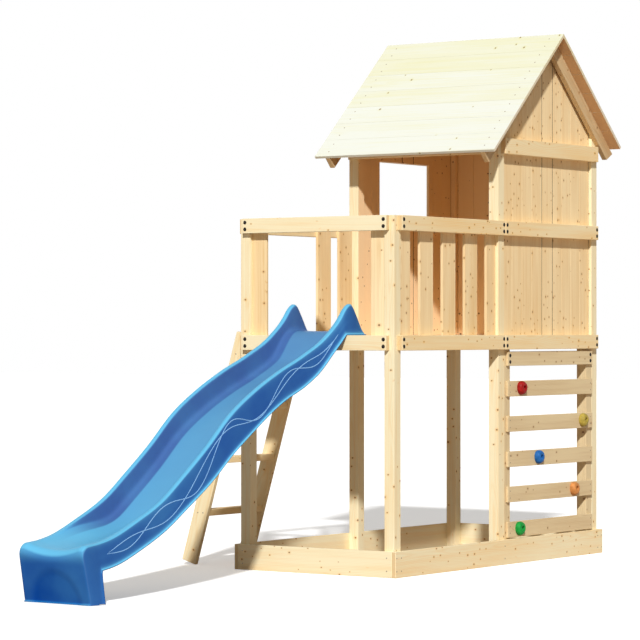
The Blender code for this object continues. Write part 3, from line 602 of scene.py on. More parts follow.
def place_piece(name, mesh, material, slot, *nodes):
    """Puts a finished mesh in the scene, on the root body, standing for its nodes."""
    mesh.materials.append(material)
    piece = bpy.data.objects.new(name, mesh)
    bpy.context.collection.objects.link(piece)
    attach(piece, "root")
    if nodes:
        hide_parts(*nodes)


def tube_faces(rings, around, flip=False):
    """Quads between rings of points that close on themselves, and a face over each of the two ends."""
    ring, step = np.meshgrid(np.arange(rings - 1), np.arange(around), indexing="ij")
    a, b = ring * around + step, ring * around + (step + 1) % around
    quads = np.stack([a, b, b + around, a + around], axis=-1).reshape(-1, 4)
    caps = np.stack([np.arange(around)[::-1], np.arange(around) + (rings - 1) * around])
    if flip:
        return quads[:, [0, 3, 2, 1]], caps[:, ::-1]
    return quads, caps


def path_length(points):
    """How far along the path through the points each of them lies."""
    return np.concatenate([[0.0], np.cumsum(np.linalg.norm(np.diff(points, axis=0), axis=1))])


# Timber: every board is a rounded rectangle carried along its length

def rounded_rectangle(width, thickness, radius, steps=CORNER_STEPS, middles=0.0):
    """Corners of radius r as quarter circles round the four inset corner points, counter-clockwise.
    With middles, each side also gets a close pair of points that far either side of its middle."""
    turn = np.linspace(0, np.pi / 2, steps + 1) + np.arange(4)[:, None] * np.pi / 2
    sign = np.array([(1, 1), (-1, 1), (-1, -1), (1, -1)])
    centre = sign * np.array([width / 2 - radius, thickness / 2 - radius])
    arcs = centre[:, None] + radius * np.stack([np.cos(turn), np.sin(turn)], axis=-1)
    if middles:
        half = np.array([(0, thickness / 2), (-width / 2, 0), (0, -thickness / 2), (width / 2, 0)])
        way = np.array([(1, 0), (0, 1), (-1, 0), (0, -1)])
        pair = half[:, None] + way[:, None] * np.array([middles, -middles])[:, None]
        arcs = np.concatenate([arcs, pair], axis=1)
    return arcs.reshape(-1, 2)


class Timber:
    """Boards gathered into one piece, with the grain, tone and end marks that the wood reads."""

    def __init__(self):
        self.points, self.grain, self.tone, self.faces, self.ends = [], [], [], [], []
        self.count = 0

    def board(self, section, along, across, origin, start, end, arris=ARRIS, tone=None, levels=(),
              carve=None):
        """A section carried along a line. start and end give the board's two ends, as numbers or as a
        value for each point of the section. The first and last rings are drawn in by the arris.
        levels adds rings between the ends, and carve may move each ring's points at its level."""
        along, across = np.array(along, float), np.array(across, float)
        up = np.cross(along, across)
        lead = np.broadcast_to(np.asarray(start, float), len(section))
        tail = np.broadcast_to(np.asarray(end, float), len(section))
        drawn = section * (1 - arris / np.abs(section).max(axis=0))
        rings = [(drawn, lead), (section, lead + arris)]
        rings += [(section, np.full(len(section), level)) for level in levels]
        rings += [(section, tail - arris), (drawn, tail)]
        if carve:
            rings = [(carve(shape, where), where) for shape, where in rings]
        shapes = np.array([shape for shape, where in rings])
        where = np.array([where for shape, where in rings])
        points = (np.array(origin, float) + where[..., None] * along + shapes[..., :1] * across
                  + shapes[..., 1:] * up)
        seed = rng.uniform(0, GRAIN_START, 3) * (1.0, 0.0, 0.0)
        seed += rng.uniform(-GRAIN_SHIFT, GRAIN_SHIFT, 3) * (0, 1, 1)
        grain = np.concatenate([where[..., None], shapes], axis=-1) + seed
        quads, caps = tube_faces(len(rings), len(section))
        self.points.append(points.reshape(-1, 3))
        self.grain.append(grain.reshape(-1, 3))
        self.tone.append(np.full(where.size, rng.uniform(0, 1) if tone is None else tone))
        self.faces += (quads + self.count).tolist() + (caps + self.count).tolist()
        self.ends.append(np.concatenate([np.zeros(len(quads)), np.ones(len(caps))]))
        self.count += where.size

    def piece(self, name, material, slot, *nodes):
        mesh = new_mesh(name, np.concatenate(self.points), self.faces)
        for label, kind, domain, field, values in (
                ("grain", "FLOAT_VECTOR", "POINT", "vector", self.grain),
                ("tone", "FLOAT", "POINT", "value", self.tone),
                ("end", "FLOAT", "FACE", "value", self.ends)):
            attribute = mesh.attributes.new(label, kind, domain)
            attribute.data.foreach_set(field, np.concatenate(values).ravel())
        place_piece(name, mesh, material, slot, *nodes)


def squared(node, axis, material=FRAME_WOOD, slot="frame_wood", cuts=(), tone=None, name=None):
    """A planed timber that fills its node's box, its grain along the given axis. It is made in lengths
    where cuts gives the places of butt joints."""
    low, high = corner_box(node)
    side = 1 if axis == 0 else 0
    across = AXES[side]
    up = np.cross(AXES[axis], across)
    size = high - low
    origin = (low + high) / 2 * (1 - AXES[axis])
    section = rounded_rectangle(size[side], abs(up @ size), ARRIS)
    timber = Timber()
    edges = [low[axis], *cuts, high[axis]]
    for i, (start, end) in enumerate(zip(edges, edges[1:])):
        lead = start + (BUTT_GAP / 2 if i else 0)
        tail = end - (BUTT_GAP / 2 if i < len(cuts) else 0)
        timber.board(section, AXES[axis], across, origin, lead, tail, tone=tone)
    timber.piece(name or node + "_timber", material, slot, node)


def make_posts():
    """Posts with the housings that the rails lie in: at the levels of a rail, the section's points that
    would lie inside it are pushed back to its inner face."""
    for row in ("front", "middle", "back"):
        for side in ("left", "right"):
            node = f"post_{row}_{side}"
            low, high = corner_box(node)
            middle = (low + high) / 2
            housings = []
            for rail in RAILS:
                rail_low, rail_high = corner_box(rail)
                if np.all(rail_low < high) and np.all(rail_high > low):
                    housings.append((rail_low - GAP, rail_high + GAP))

            def carve(section, where):
                shape = section.copy()
                for rail_low, rail_high in housings:
                    place = np.column_stack([shape + middle[:2], where])
                    inside = np.all((place > rail_low) & (place < rail_high), axis=1)
                    axis = int(rail_high[0] - rail_low[0] > rail_high[1] - rail_low[1])
                    wall = rail_high[axis] if rail_low[axis] < low[axis] else rail_low[axis]
                    shape[inside, axis] = wall - middle[axis]
                return shape

            levels = []
            for rail_low, rail_high in housings:
                for level in (rail_low[2], rail_high[2]):
                    levels += [level - GAP / 3, level + GAP / 3]
            levels = sorted({round(level, LEVEL_DIGITS) for level in levels if level < high[2] - ARRIS})
            timber = Timber()
            section = rounded_rectangle(high[0] - low[0], high[1] - low[1], ARRIS, middles=POST_MIDDLES)
            timber.board(section, AXES[2], AXES[0], middle * (1, 1, 0), low[2], high[2],
                         levels=levels, carve=carve, tone=PALE_TONE)
            timber.piece(node + "_timber", FRAME_WOOD, "frame_wood", node)


def lies_across(node):
    """Whether a rail runs across the tower, along X."""
    low, high = corner_box(node)
    return high[0] - low[0] > high[1] - low[1]


def make_frame():
    """Rails, joists, sandbox boards, battens, climbing boards and treads. The long side rails are two
    lengths that meet at the middle posts."""
    for rail in RAILS:
        # Rails across the front and back stay pale; rails along the sides take a deeper tone as painted
        # shade
        if lies_across(rail):
            squared(rail, 0, tone=PALE_TONE)
        else:
            long = corner_box(rail)[0][1] < MIDDLE_LOW[1]
            squared(rail, 1, cuts=[POST_JOINT] if long else [], tone=SIDE_RAIL_SHADE_TONE)
    for node in ("joist_left", "joist_right", "sandbox_left", "sandbox_right"):
        squared(node, 1, tone=LOW_SIDE_SHADE_TONE)
    for node in ("sandbox_front", "sandbox_back"):
        squared(node, 0, tone=PALE_TONE)
    for node in ("batten_front", "batten_back"):
        squared(node, 2, DARK_WOOD, tone=rng.uniform(*BATTEN_TONES))
    for i in range(CLIMB_BOARDS):
        squared(f"climb_board_{i + 1}", 1, DARK_WOOD, tone=CLIMB_TONE)
    for i in range(TREADS):
        squared(f"tread_{i + 1}", 1)


def roof_underside(y):
    """Height of the roof's underside over a place in Y."""
    drop = ROOF_THICKNESS / math.cos(ROOF_ANGLE) + GAP
    return RIDGE - drop - np.abs(y - CABIN_MIDDLE) * math.tan(ROOF_ANGLE)


def make_side_wall(side):
    """Upright boards with chamfered edges. Each point of a board's section ends where the roof's
    underside passes over it. Beside the window the boards run full, and above and below it they are
    short. The board in the middle stands a little apart, and in its joints and at the edges beside
    the posts lie tongues of dark wood, a painted shadow that darkens those joints."""
    rail_bottom = corner_box("cabin_rail_left")[0][2]
    sill = corner_box("railing_left")[1][2]
    node = "wall_" + side
    low, high = corner_box(node)
    thickness = high[0] - low[0]
    joints = [CABIN_MIDDLE + MIDDLE_BOARD_SHIFT + way * MIDDLE_BOARD / 2 for way in (-1, 1)]
    dark = [(low[1], low[1] + EDGE_JOINT)]
    dark += [(joint - WIDE_JOINT / 2, joint + WIDE_JOINT / 2) for joint in joints]
    dark += [(high[1] - EDGE_JOINT, high[1])]
    window = [CABIN_MIDDLE + WINDOW_SHIFT + way * WINDOW_WIDTH / 2 for way in (-1, 1)]
    timber, shadow_tongues = Timber(), Timber()

    def upright(y0, y1, z0, z1, tone, thick=thickness, into=timber):
        middle = (y0 + y1) / 2
        section = rounded_rectangle(thick, y1 - y0, WALL_ARRIS, steps=1)
        top = roof_underside(middle + section[:, 1]) if z1 is None else z1
        into.board(section, AXES[2], AXES[0], ((low[0] + high[0]) / 2, middle, 0), z0, top,
                   arris=WALL_ARRIS, tone=tone)

    def column(y0, y1, *how):
        levels = [(low[2], None)]
        if side == "left" and y0 < window[1] and y1 > window[0]:
            levels = [(low[2], sill), (rail_bottom, None)]
            if y0 < window[0]:
                upright(y0, window[0], sill, rail_bottom, *how)
            if y1 > window[1]:
                upright(window[1], y1, sill, rail_bottom, *how)
        for z0, z1 in levels:
            upright(y0, y1, z0, z1, *how)

    for before, after, count in zip(dark, dark[1:], WALL_BOARDS):
        edges = np.linspace(before[1], after[0], count + 1)
        for start, end in zip(edges, edges[1:]):
            column(start + (start > edges[0]) * BOARD_JOINT / 2,
                   end - (end < edges[-1]) * BOARD_JOINT / 2, rng.uniform(*WALL_TONES))
    for start, end in dark:
        # Dark tongues in the joints, a painted shadow
        column(start + GAP, end - GAP, JOINT_TONE, thickness - 2 * TONGUE_SINK, shadow_tongues)
    timber.piece(node + "_boards", BOARD_WOOD, "board_wood", node)
    shadow_tongues.piece(node + "_joint_shadows", JOINT_SHADOW_WOOD, "board_wood")


def make_back_wall():
    """Upright boards of one width that fill the wall's box."""
    low, high = corner_box("wall_back")
    timber = Timber()
    width = (high[0] - low[0]) / BACK_BOARDS
    section = rounded_rectangle(width - BOARD_JOINT, high[1] - low[1], BOARD_ARRIS, steps=1)
    for i in range(BACK_BOARDS):
        origin = (low[0] + (i + 0.5) * width, (low[1] + high[1]) / 2, 0)
        timber.board(section, AXES[2], AXES[0], origin, low[2], high[2], arris=BOARD_END_ARRIS)
    timber.piece("wall_back_boards", BOARD_WOOD, "board_wood", "wall_back")


def make_balusters():
    """Upright boards of the balcony's railing and beside the slide."""
    for node in BALUSTERS:
        squared(node, 2, BOARD_WOOD, "board_wood", name=node + "_board")


def make_deck():
    """Deck boards across the tower. Where a board passes a post, the points of its section that lie in
    the post's depth end at the post's inner face."""
    timber = Timber()
    width = (DECK_HIGH[1] - DECK_LOW[1]) / DECK_BOARDS
    thickness = DECK_HIGH[2] - DECK_LOW[2]
    inner = POST_HIGH[0] - POST_SIDE - GAP - CENTRE_X
    full = DECK_HIGH[0] - CENTRE_X
    for i in range(DECK_BOARDS):
        middle = DECK_LOW[1] + (i + 0.5) * width
        section = rounded_rectangle(width - BOARD_JOINT, thickness, BOARD_ARRIS, steps=1)
        for low, high in POST_ROWS:
            for edge in (low[1] - GAP - middle, high[1] + GAP - middle):
                if abs(edge) < width / 2 - BOARD_ARRIS:
                    extra = [(edge + s * GAP / 3, t * thickness / 2) for s in (-1, 1) for t in (-1, 1)]
                    section = np.vstack([section, extra])
        order = np.argsort(np.arctan2(section[:, 1] / thickness, section[:, 0] / width))
        section = section[order]
        y = middle + section[:, 0]
        at_post = np.zeros(len(section), bool)
        for low, high in POST_ROWS:
            at_post |= (y > low[1] - GAP) & (y < high[1] + GAP)
        reach = np.where(at_post, inner, full)
        timber.board(section, AXES[0], AXES[1], (CENTRE_X, middle, (DECK_LOW[2] + DECK_HIGH[2]) / 2),
                     -reach, reach, arris=BOARD_END_ARRIS)
    timber.piece("deck_boards", BOARD_WOOD, "board_wood", "deck")


def slope_axes(side):
    """Unit vectors down a roof slope and into the roof, square to it."""
    down = np.array([0, side * math.cos(ROOF_ANGLE), -math.sin(ROOF_ANGLE)])
    into = np.array([0, -side * math.sin(ROOF_ANGLE), -math.cos(ROOF_ANGLE)])
    return down, into


def slope_length(eave):
    return abs(eave - CABIN_MIDDLE) / math.cos(ROOF_ANGLE)


def make_roof():
    """Roof boards along X, row by row down each slope. The top rows meet in a mitre: the points nearer
    the ridge move down the slope by their depth times the slope's tangent."""
    ridge = np.array([0, CABIN_MIDDLE, RIDGE])
    for node, side, rows, eave in ROOF_SLOPES:
        low, high = corner_box(node)
        down, into = slope_axes(side)
        width = slope_length(eave) / rows
        timber = Timber()
        for i in range(rows):
            start = i * width + (BOARD_JOINT / 2 if i else GAP)
            end = (i + 1) * width - (BOARD_JOINT / 2 if i < rows - 1 else 0)
            middle = ridge + down * (start + end) / 2 + into * ROOF_THICKNESS / 2
            section = rounded_rectangle(end - start, ROOF_THICKNESS, ROOF_ARRIS, steps=1)
            if i == 0:
                mitre = (section[:, 1] + ROOF_THICKNESS / 2) * math.tan(ROOF_ANGLE)
                section[:, 0] += np.where(section[:, 0] < 0, mitre, 0)
            along = np.cross(down, into)
            along_start, along_end = (low[0], high[0]) if along[0] > 0 else (-high[0], -low[0])
            tone = RIDGE_TONE + (EAVE_TONE - RIDGE_TONE) * i / (rows - 1) + rng.uniform(*ROOF_TONES)
            timber.board(section, along, down, middle, along_start, along_end, arris=ROOF_END_ARRIS,
                         tone=tone)
        timber.piece(node + "_boards", ROOF_WOOD, "roof_wood", node)


def make_rafters():
    """Rafters under the roof boards, outside each gable. They meet on a plumb cut, and the back ones
    reach past the roof with a slanted end."""
    ridge = np.array([0, CABIN_MIDDLE, RIDGE])
    for node in ("rafters_left", "rafters_right"):
        low, high = corner_box(node)
        section = rounded_rectangle(RAFTER_DEPTH, high[0] - low[0], ARRIS)
        deep = section[:, 0] + RAFTER_DEPTH / 2
        start = (deep + ROOF_THICKNESS + GAP) * math.tan(ROOF_ANGLE) + GAP
        timber = Timber()
        for _, side, _, eave in ROOF_SLOPES:
            down, into = slope_axes(side)
            middle = (ridge + into * (ROOF_THICKNESS + GAP + RAFTER_DEPTH / 2)) * (0, 1, 1)
            middle[0] = (low[0] + high[0]) / 2
            end = slope_length(eave)
            if side > 0:
                end = end + (RAFTER_TAIL - RAFTER_TAIL_CUT * deep / RAFTER_DEPTH)
            timber.board(section, down, into, middle, start, end, tone=RAFTER_TONE)
        timber.piece(node + "_timber", DARK_WOOD, "frame_wood", node)


def make_stringers():
    """Leaning stringers with square ends. Near the top, points that would lie inside the platform rail
    are held at its face, which makes the plumb seat."""
    rail_face = corner_box("platform_rail_left")[0][0]
    lean = math.atan2(LADDER_REACH - GAP, PLATFORM_TOP - LADDER_SEAT)
    along = np.array([math.sin(lean), 0, math.cos(lean)])
    across = np.array([-math.cos(lean), 0, math.sin(lean)])
    seat = (LADDER_REACH - GAP) / math.sin(lean)
    for node in ("stringer_front", "stringer_back"):
        low, high = corner_box(node)
        length = (high[2] - STRINGER_WIDTH * math.sin(lean)) / math.cos(lean)
        origin = np.array([rail_face - LADDER_REACH, (low[1] + high[1]) / 2, 0])
        origin += across * STRINGER_WIDTH / 2
        section = rounded_rectangle(STRINGER_WIDTH, high[1] - low[1], ARRIS)

        def carve(shape, where):
            x = origin[0] + where * along[0] + shape[:, 0] * across[0]
            over = np.maximum(0, x - (rail_face - GAP))
            return shape + over[:, None] / abs(across[0]) * (1, 0)

        timber = Timber()
        timber.board(section, along, across, origin, 0.0, length,
                     levels=np.linspace(seat - ARRIS, length - 2 * ARRIS, SEAT_LEVELS),
                     carve=carve)
        timber.piece(node + "_timber", FRAME_WOOD, "frame_wood", node)


# Curves

def hermite(x, y, slope, at):
    """Cubic pieces through the points, each with the given slopes at its two ends."""
    i = np.clip(np.searchsorted(x, at) - 1, 0, len(x) - 2)
    width = x[i + 1] - x[i]
    t = (at - x[i]) / width
    return ((1 + 2 * t) * (1 - t) ** 2 * y[i] + t * (1 - t) ** 2 * width * slope[i]
            + t ** 2 * (3 - 2 * t) * y[i + 1] - t ** 2 * (1 - t) * width * slope[i + 1])


def curve(knots, at):
    """Cubic curve through knots, each slope taken across the knot's neighbours, read at given places."""
    x, y = np.array(knots).T
    return hermite(x, y, np.gradient(y, x), at)


def even_curve(x, y, at):
    """Cubic curve through knots that never swings past them: each slope is the harmonic mean of the two
    chords that meet there, and level where they turn back."""
    chord = np.diff(y) / np.diff(x)
    before, after = chord[:-1], chord[1:]
    both = before * after > 0
    middle = np.where(both, 2 * before * after / np.where(both, before + after, 1.0), 0.0)
    return hermite(x, y, np.concatenate([chord[:1], middle, chord[-1:]]), at)


def smooth_step(t):
    t = np.clip(t, 0.0, 1.0)
    return t * t * (3 - 2 * t)


def rounded_bend(start, corner, end, radius, shares):
    """Points on two straight legs with a round of that radius at their corner, read at shares of the
    whole length."""
    start, corner, end = (np.array(p, float) for p in (start, corner, end))
    to_start = (start - corner) / np.linalg.norm(start - corner)
    to_end = (end - corner) / np.linalg.norm(end - corner)
    opening = math.acos(float(to_start @ to_end))
    reach = radius / math.tan(opening / 2)
    bisector = (to_start + to_end) / np.linalg.norm(to_start + to_end)
    centre = corner + bisector * radius / math.sin(opening / 2)
    turn = math.pi - opening
    spokes = np.linspace(0.0, 1.0, BEND_STEPS)[:, None]
    a, b = corner + to_start * reach - centre, corner + to_end * reach - centre
    arc = centre + (np.sin((1 - spokes) * turn) * a + np.sin(spokes * turn) * b) / math.sin(turn)
    path = np.vstack([start, arc, end])
    length = path_length(path)
    return np.stack([np.interp(shares * length[-1], length, path[:, k]) for k in range(2)], axis=1)


# The slide: a section carried along three paths

def slide_paths():
    """Side view of the slide as three matching paths in Y and Z: the floor's middle, the rim's top and
    the skirt's lower edge. The run is cut by upright planes, and at the foot all three turn down. Also
    tells how far the trough has opened into the foot's soft hollow, and how far down the foot's face
    each station lies."""
    lip_count, run_count, end_count = SLIDE_STATIONS
    drop = PLATFORM_TOP - SLIDE_END_RIM
    turn_share = 1.0 - SLIDE_END_RETURN / SLIDE_RUN
    rail_face = (POST_LOW[1] - RAIL_FACE + SLIDE_SHELL) / SLIDE_RUN
    share = np.concatenate([np.linspace(-SLIDE_LIP_LENGTH / SLIDE_RUN, rail_face, lip_count),
                            np.linspace(rail_face, turn_share, run_count)[1:]])
    y = -share * SLIDE_RUN
    rim = SLIDE_END_RIM + drop * curve(RIM_WAVE, share)
    shallow = smooth_step((share - TROUGH_OPENS[0]) / (TROUGH_OPENS[1] - TROUGH_OPENS[0]))
    trough = SLIDE_TROUGH + (SLIDE_END_TROUGH - SLIDE_TROUGH) * shallow
    lip = PLATFORM_TOP + SLIDE_LIP_RISE
    below_lip = smooth_step((HOUSING - y) / SLIDE_LIP_FALL)
    floor = np.minimum(rim, lip + (rim - trough - lip) * below_lip)
    on_deck = PLATFORM_TOP + GAP + SLIDE_SHELL
    hanging = rim - SLIDE_SKIRT * curve(SKIRT_HANG, share)
    skirt = np.minimum(on_deck, np.where(share > rail_face, hanging, on_deck))
    run = [np.stack([y, z], axis=1) for z in (floor, rim, skirt)]

    shares = np.linspace(0.0, 1.0, end_count + 1)[1:]
    face = -SLIDE_RUN - SLIDE_END_BULGE
    toe = (-SLIDE_RUN, SLIDE_SHELL + SLIDE_FOOT_CLEARANCE)
    heel = -SLIDE_RUN + SLIDE_END_RETURN
    turns = (
        ((face, SLIDE_END_RIM - SLIDE_END_TROUGH), toe, SLIDE_END_ROUNDING, -SLIDE_FLANGE),
        ((face, SLIDE_END_RIM), toe, SLIDE_END_ROUNDING, -SLIDE_FLANGE),
        ((heel - SLIDE_SHELL, SLIDE_HEEL_HEIGHT), (heel + SLIDE_SHELL, toe[1]), SLIDE_HEEL_ROUNDING,
         SLIDE_FLANGE / 2),
    )
    paths = []
    for path, (corner, end, rounding, out) in zip(run, turns):
        bend = rounded_bend(path[-1], corner, end, rounding, shares)
        paths.append(np.vstack([path, bend, bend[-1] + (out, 0.0)]))
    opened = np.concatenate([shallow, np.ones(end_count + 1)])
    turn = lip_count + run_count - 2
    at_foot = np.clip((np.arange(len(opened)) - turn) / end_count, 0.0, 1.0)
    return paths + [opened, at_foot]


def slide_section():
    """Half of the slide's section, from the middle of the floor outwards: how far out each point lies,
    how far it has risen from floor to rim and fallen from rim to skirt edge, as shares. The points are
    read from an even curve by the distance along the section."""
    knots = np.array(SLIDE_SECTION)
    widths = (0.0, SLIDE_FLOOR_WIDTH / 2, SLIDE_WALL_LEAN, SLIDE_RIM_WIDTH, SLIDE_SKIRT_LEAN,
              SLIDE_FLANGE)
    knots[:, 0] = np.interp(knots[:, 0], np.arange(len(widths)), np.cumsum(widths))
    length = path_length(knots * (1.0, SLIDE_TROUGH, SLIDE_SKIRT))
    even = np.linspace(0.0, length[-1], 2 * SLIDE_ACROSS // 3)
    knotty = np.interp(np.linspace(0, len(length) - 1, SLIDE_ACROSS // 3 + 2), np.arange(len(length)),
                       length)
    at = np.unique(np.round(np.concatenate([even, knotty]), 4))
    at = at[np.concatenate([[True], np.diff(at) > SLIDE_CLOSEST])]
    at[-1] = length[-1]
    return np.stack([even_curve(length, knots[:, k], at) for k in range(3)], axis=1)


def slide_surface():
    """The moulding's top surface as a grid of stations along it and points across it: the section
    carried along the three paths, flared and dented at the foot. Its marks tell, from nought to one,
    how far each point is in the walls' painted shade, which spreads onto the floor's edge, on a skirt
    and in the painted shade of the foot's arch, and its fades how high up the trough it is and where
    the painted highlight at the foot's edges lies."""
    floor, rim, skirt, opened, at_foot = slide_paths()
    opened, at_foot = opened[:, None], at_foot[:, None]
    half = slide_section()
    section = np.vstack([half[:0:-1] * (-1.0, 1.0, 1.0), half])
    out, climb, fall = section.T
    inner = SLIDE_FLOOR_WIDTH / 2
    hollow = np.minimum(1.0, np.abs(out) / (inner + SLIDE_WALL_LEAN)) ** 2
    rise = climb + (hollow - climb) * opened
    grid = np.zeros((len(floor), len(section), 3))
    grid[..., 0] = out * (1.0 + SLIDE_END_FLARE * at_foot)
    for k in range(2):
        rising = (rim - floor)[:, k, None] * rise
        falling = (skirt - rim)[:, k, None] * fall
        grid[..., k + 1] = floor[:, k, None] + rising + falling
    radial = np.hypot(grid[..., 0] / (SLIDE_ARCH_WIDTH / 2), grid[..., 2] / SLIDE_ARCH_HEIGHT)
    on_face = (at_foot > 0.0) & (fall < TOP_SIDE)
    grid[..., 1] += SLIDE_ARCH_DEPTH * (smooth_step((1.0 - radial) / SLIDE_ARCH_EDGE) * on_face)

    # Painted shade of the walls, spread onto the floor's edge and stopping at the rim
    wall = smooth_step((np.abs(out) / inner - WALL_MARK[0]) / WALL_MARK[1])
    near_rim = smooth_step((climb - RIM_MARK[0]) / (RIM_MARK[1] - RIM_MARK[0]))
    wall = wall * (1.0 - near_rim) * (1.0 - opened)
    skirts = np.broadcast_to(smooth_step(fall / SKIRT_MARK_FADE), wall.shape)
    # Painted shade in the recess of the foot's arch
    arch_shade = smooth_step((ARCH_SHADE_MARK - radial) / SLIDE_ARCH_EDGE) * on_face
    down_run = -grid[..., 1] / SLIDE_RUN
    high_up = (1.0 - HIGH_FALL * down_run) * (1.0 - climb)
    high_up = high_up * (1.0 - smooth_step((down_run - HIGH_FADE[0]) / HIGH_FADE[1]))
    height = grid[..., 2]
    # Painted highlight on the foot's face near its top and in a thin line at its bottom
    near_top = 1.0 - smooth_step((SLIDE_END_RIM - height) / FOOT_FADE)
    foot_highlight = on_face * np.maximum(FOOT_FADE_SHARE * near_top, FOOT_EDGE_SHARE * (height < FOOT_EDGE))
    marks = {"marks": np.stack([wall, skirts, arch_shade], axis=-1),
             "fades": np.stack([high_up, foot_highlight, np.zeros_like(wall)], axis=-1)}
    return grid + (CENTRE_X, POST_LOW[1], 0.0), fall, marks


def grid_normals(grid):
    """Unit normals of a grid surface, from the cross product of its two directions."""
    along, across = np.gradient(grid, axis=0), np.gradient(grid, axis=1)
    normal = np.cross(along, across)
    return normal / np.linalg.norm(normal, axis=2, keepdims=True)


def make_slide():
    """The moulding's shell: the top surface and a lower one set in along the normals, joined by an
    edge of two facets all round."""
    top, fall, marks = slide_surface()
    normal = grid_normals(top)
    if normal[len(normal) // 2, normal.shape[1] // 2, 2] < 0:
        normal = -normal
    low = top - normal * SLIDE_SHELL
    low[..., 2] = np.maximum(low[..., 2], SLIDE_UNDER_LIFT)
    middle = (top + low) / 2
    rows, columns = top.shape[:2]
    loop = np.concatenate([top, middle[:, -1:], low[:, ::-1], middle[:, :1]], axis=1)
    around = loop.shape[1]
    faces, _ = tube_faces(rows, around, flip=True)
    j = np.arange(columns - 1)
    under = 2 * columns - j
    first = np.stack([j, j + 1, under - 1, under], axis=-1)
    sides = np.array([[columns - 1, columns, columns + 1], [0, 2 * columns, 2 * columns + 1]])
    caps = [cap.tolist() for cap in (first, first[:, ::-1] + (rows - 1) * around, sides,
                                     sides[:, ::-1] + (rows - 1) * around)]
    mesh = new_mesh("slide_moulding", loop.reshape(-1, 3), faces.tolist() + sum(caps, []), SLIDE_SHARP)
    for name, on_top in marks.items():
        values = np.concatenate([on_top, on_top[:, -1:], on_top[:, ::-1], on_top[:, :1]], axis=1)
        mesh.attributes.new(name, "FLOAT_VECTOR", "POINT").data.foreach_set("vector", values.ravel())
    place_piece("slide_moulding", mesh, SLIDE_BLUE, "slide_plastic", "slide")
    make_lines(top, normal, fall)


def make_lines(top, normal, fall):
    """Raised lines on both skirts: waves that cross each other, each a low rounded strip laid on the
    surface. A wave's place across the skirt is a sine of the way down the run, calmer at both ends."""
    flat = np.flatnonzero((fall > LINE_BAND[0]) & (fall < LINE_BAND[1]))
    middle = top.shape[1] // 2
    lip_count, run_count, _ = SLIDE_STATIONS
    stations = np.linspace(lip_count + LINE_FREE[0], lip_count + run_count - LINE_FREE[1], LINE_STEPS)
    low_s = np.floor(stations).astype(int)
    part_s = (stations - low_s)[:, None]
    way = np.linspace(0.0, 1.0, LINE_STEPS)
    calm = np.sin(math.pi * way) ** 0.5
    taper = smooth_step(np.minimum(way, 1 - way) / LINE_TAPER)[:, None]
    wide, high = [tip + (1 - tip) * taper for tip in LINE_TIP]
    points, faces = [], []
    for columns in (flat[flat < middle], flat[flat > middle]):
        columns = columns[np.argsort(fall[columns])]
        for cycles, phase, swing, bias in LINE_WAVES:
            want = bias + swing * np.sin(2 * math.pi * cycles * way + phase) * calm
            column = np.interp(want, fall[columns], np.arange(len(columns)))
            low_c = np.clip(np.floor(column).astype(int), 0, len(columns) - 2)
            part_c = (column - low_c)[:, None]

            def read(values):
                near, far = [values[row, columns[low_c]] * (1 - part_c)
                             + values[row, columns[low_c + 1]] * part_c for row in (low_s, low_s + 1)]
                return near * (1 - part_s) + far * part_s

            path, up = read(top), read(normal)
            up /= np.linalg.norm(up, axis=1, keepdims=True)
            aside = np.cross(up, np.gradient(path, axis=0))
            aside /= np.linalg.norm(aside, axis=1, keepdims=True)
            strip = np.stack([path + aside * LINE_WIDTH * a * wide + up * LINE_RISE * h * high
                              for a, h in LINE_OUTLINE], axis=1)
            base = len(points) * len(LINE_OUTLINE) * LINE_STEPS
            quads, caps = tube_faces(LINE_STEPS, len(LINE_OUTLINE))
            points.append(strip.reshape(-1, 3))
            faces += (quads + base).tolist() + (caps + base).tolist()
    mesh = new_mesh("slide_lines", np.concatenate(points), faces)
    mesh.shade_smooth()
    place_piece("slide_lines", mesh, LINE_BLUE, "slide_plastic")


# Turned parts: stones, bolts and screws

def turned_shape(outline, sides, wobble=0.0):
    """Surface of revolution: radius and height along an outline, carried round an axis. The wobble
    pushes the radius in by a threefold wave."""
    radius, height = np.array(outline, float).T
    turn = np.arange(sides) * 2 * math.pi / sides
    wave = 0.5 + 0.5 * np.sin(3 * turn + WOBBLE_TURN)
    swell = 1 - wobble * wave * np.minimum(1, radius / radius.max())[:, None]
    points = np.stack([radius[:, None] * np.cos(turn) * swell, radius[:, None] * np.sin(turn) * swell,
                       np.repeat(height[:, None], sides, axis=1)], axis=-1)
    return points.reshape(-1, 3), *tube_faces(len(radius), sides, flip=True)


def set_many(name, shape, places, material, slot=None, *nodes):
    """The same small turned part at many places, each with the way it faces, gathered into one piece."""
    points, quads, caps = shape
    all_points, all_faces = [], []
    for spot, facing in places:
        facing = np.array(facing, float)
        side = np.cross(facing, AXES[2])
        side /= np.linalg.norm(side)
        other = np.cross(facing, side)
        base = len(all_points) * len(points)
        all_points.append(np.array(spot) + points[:, :1] * side + points[:, 1:2] * other
                          + points[:, 2:] * facing)
        all_faces += (quads + base).tolist() + (caps + base).tolist()
    mesh = new_mesh(name, np.concatenate(all_points), all_faces, TURNED_SHARP)
    place_piece(name, mesh, material, slot, *nodes)


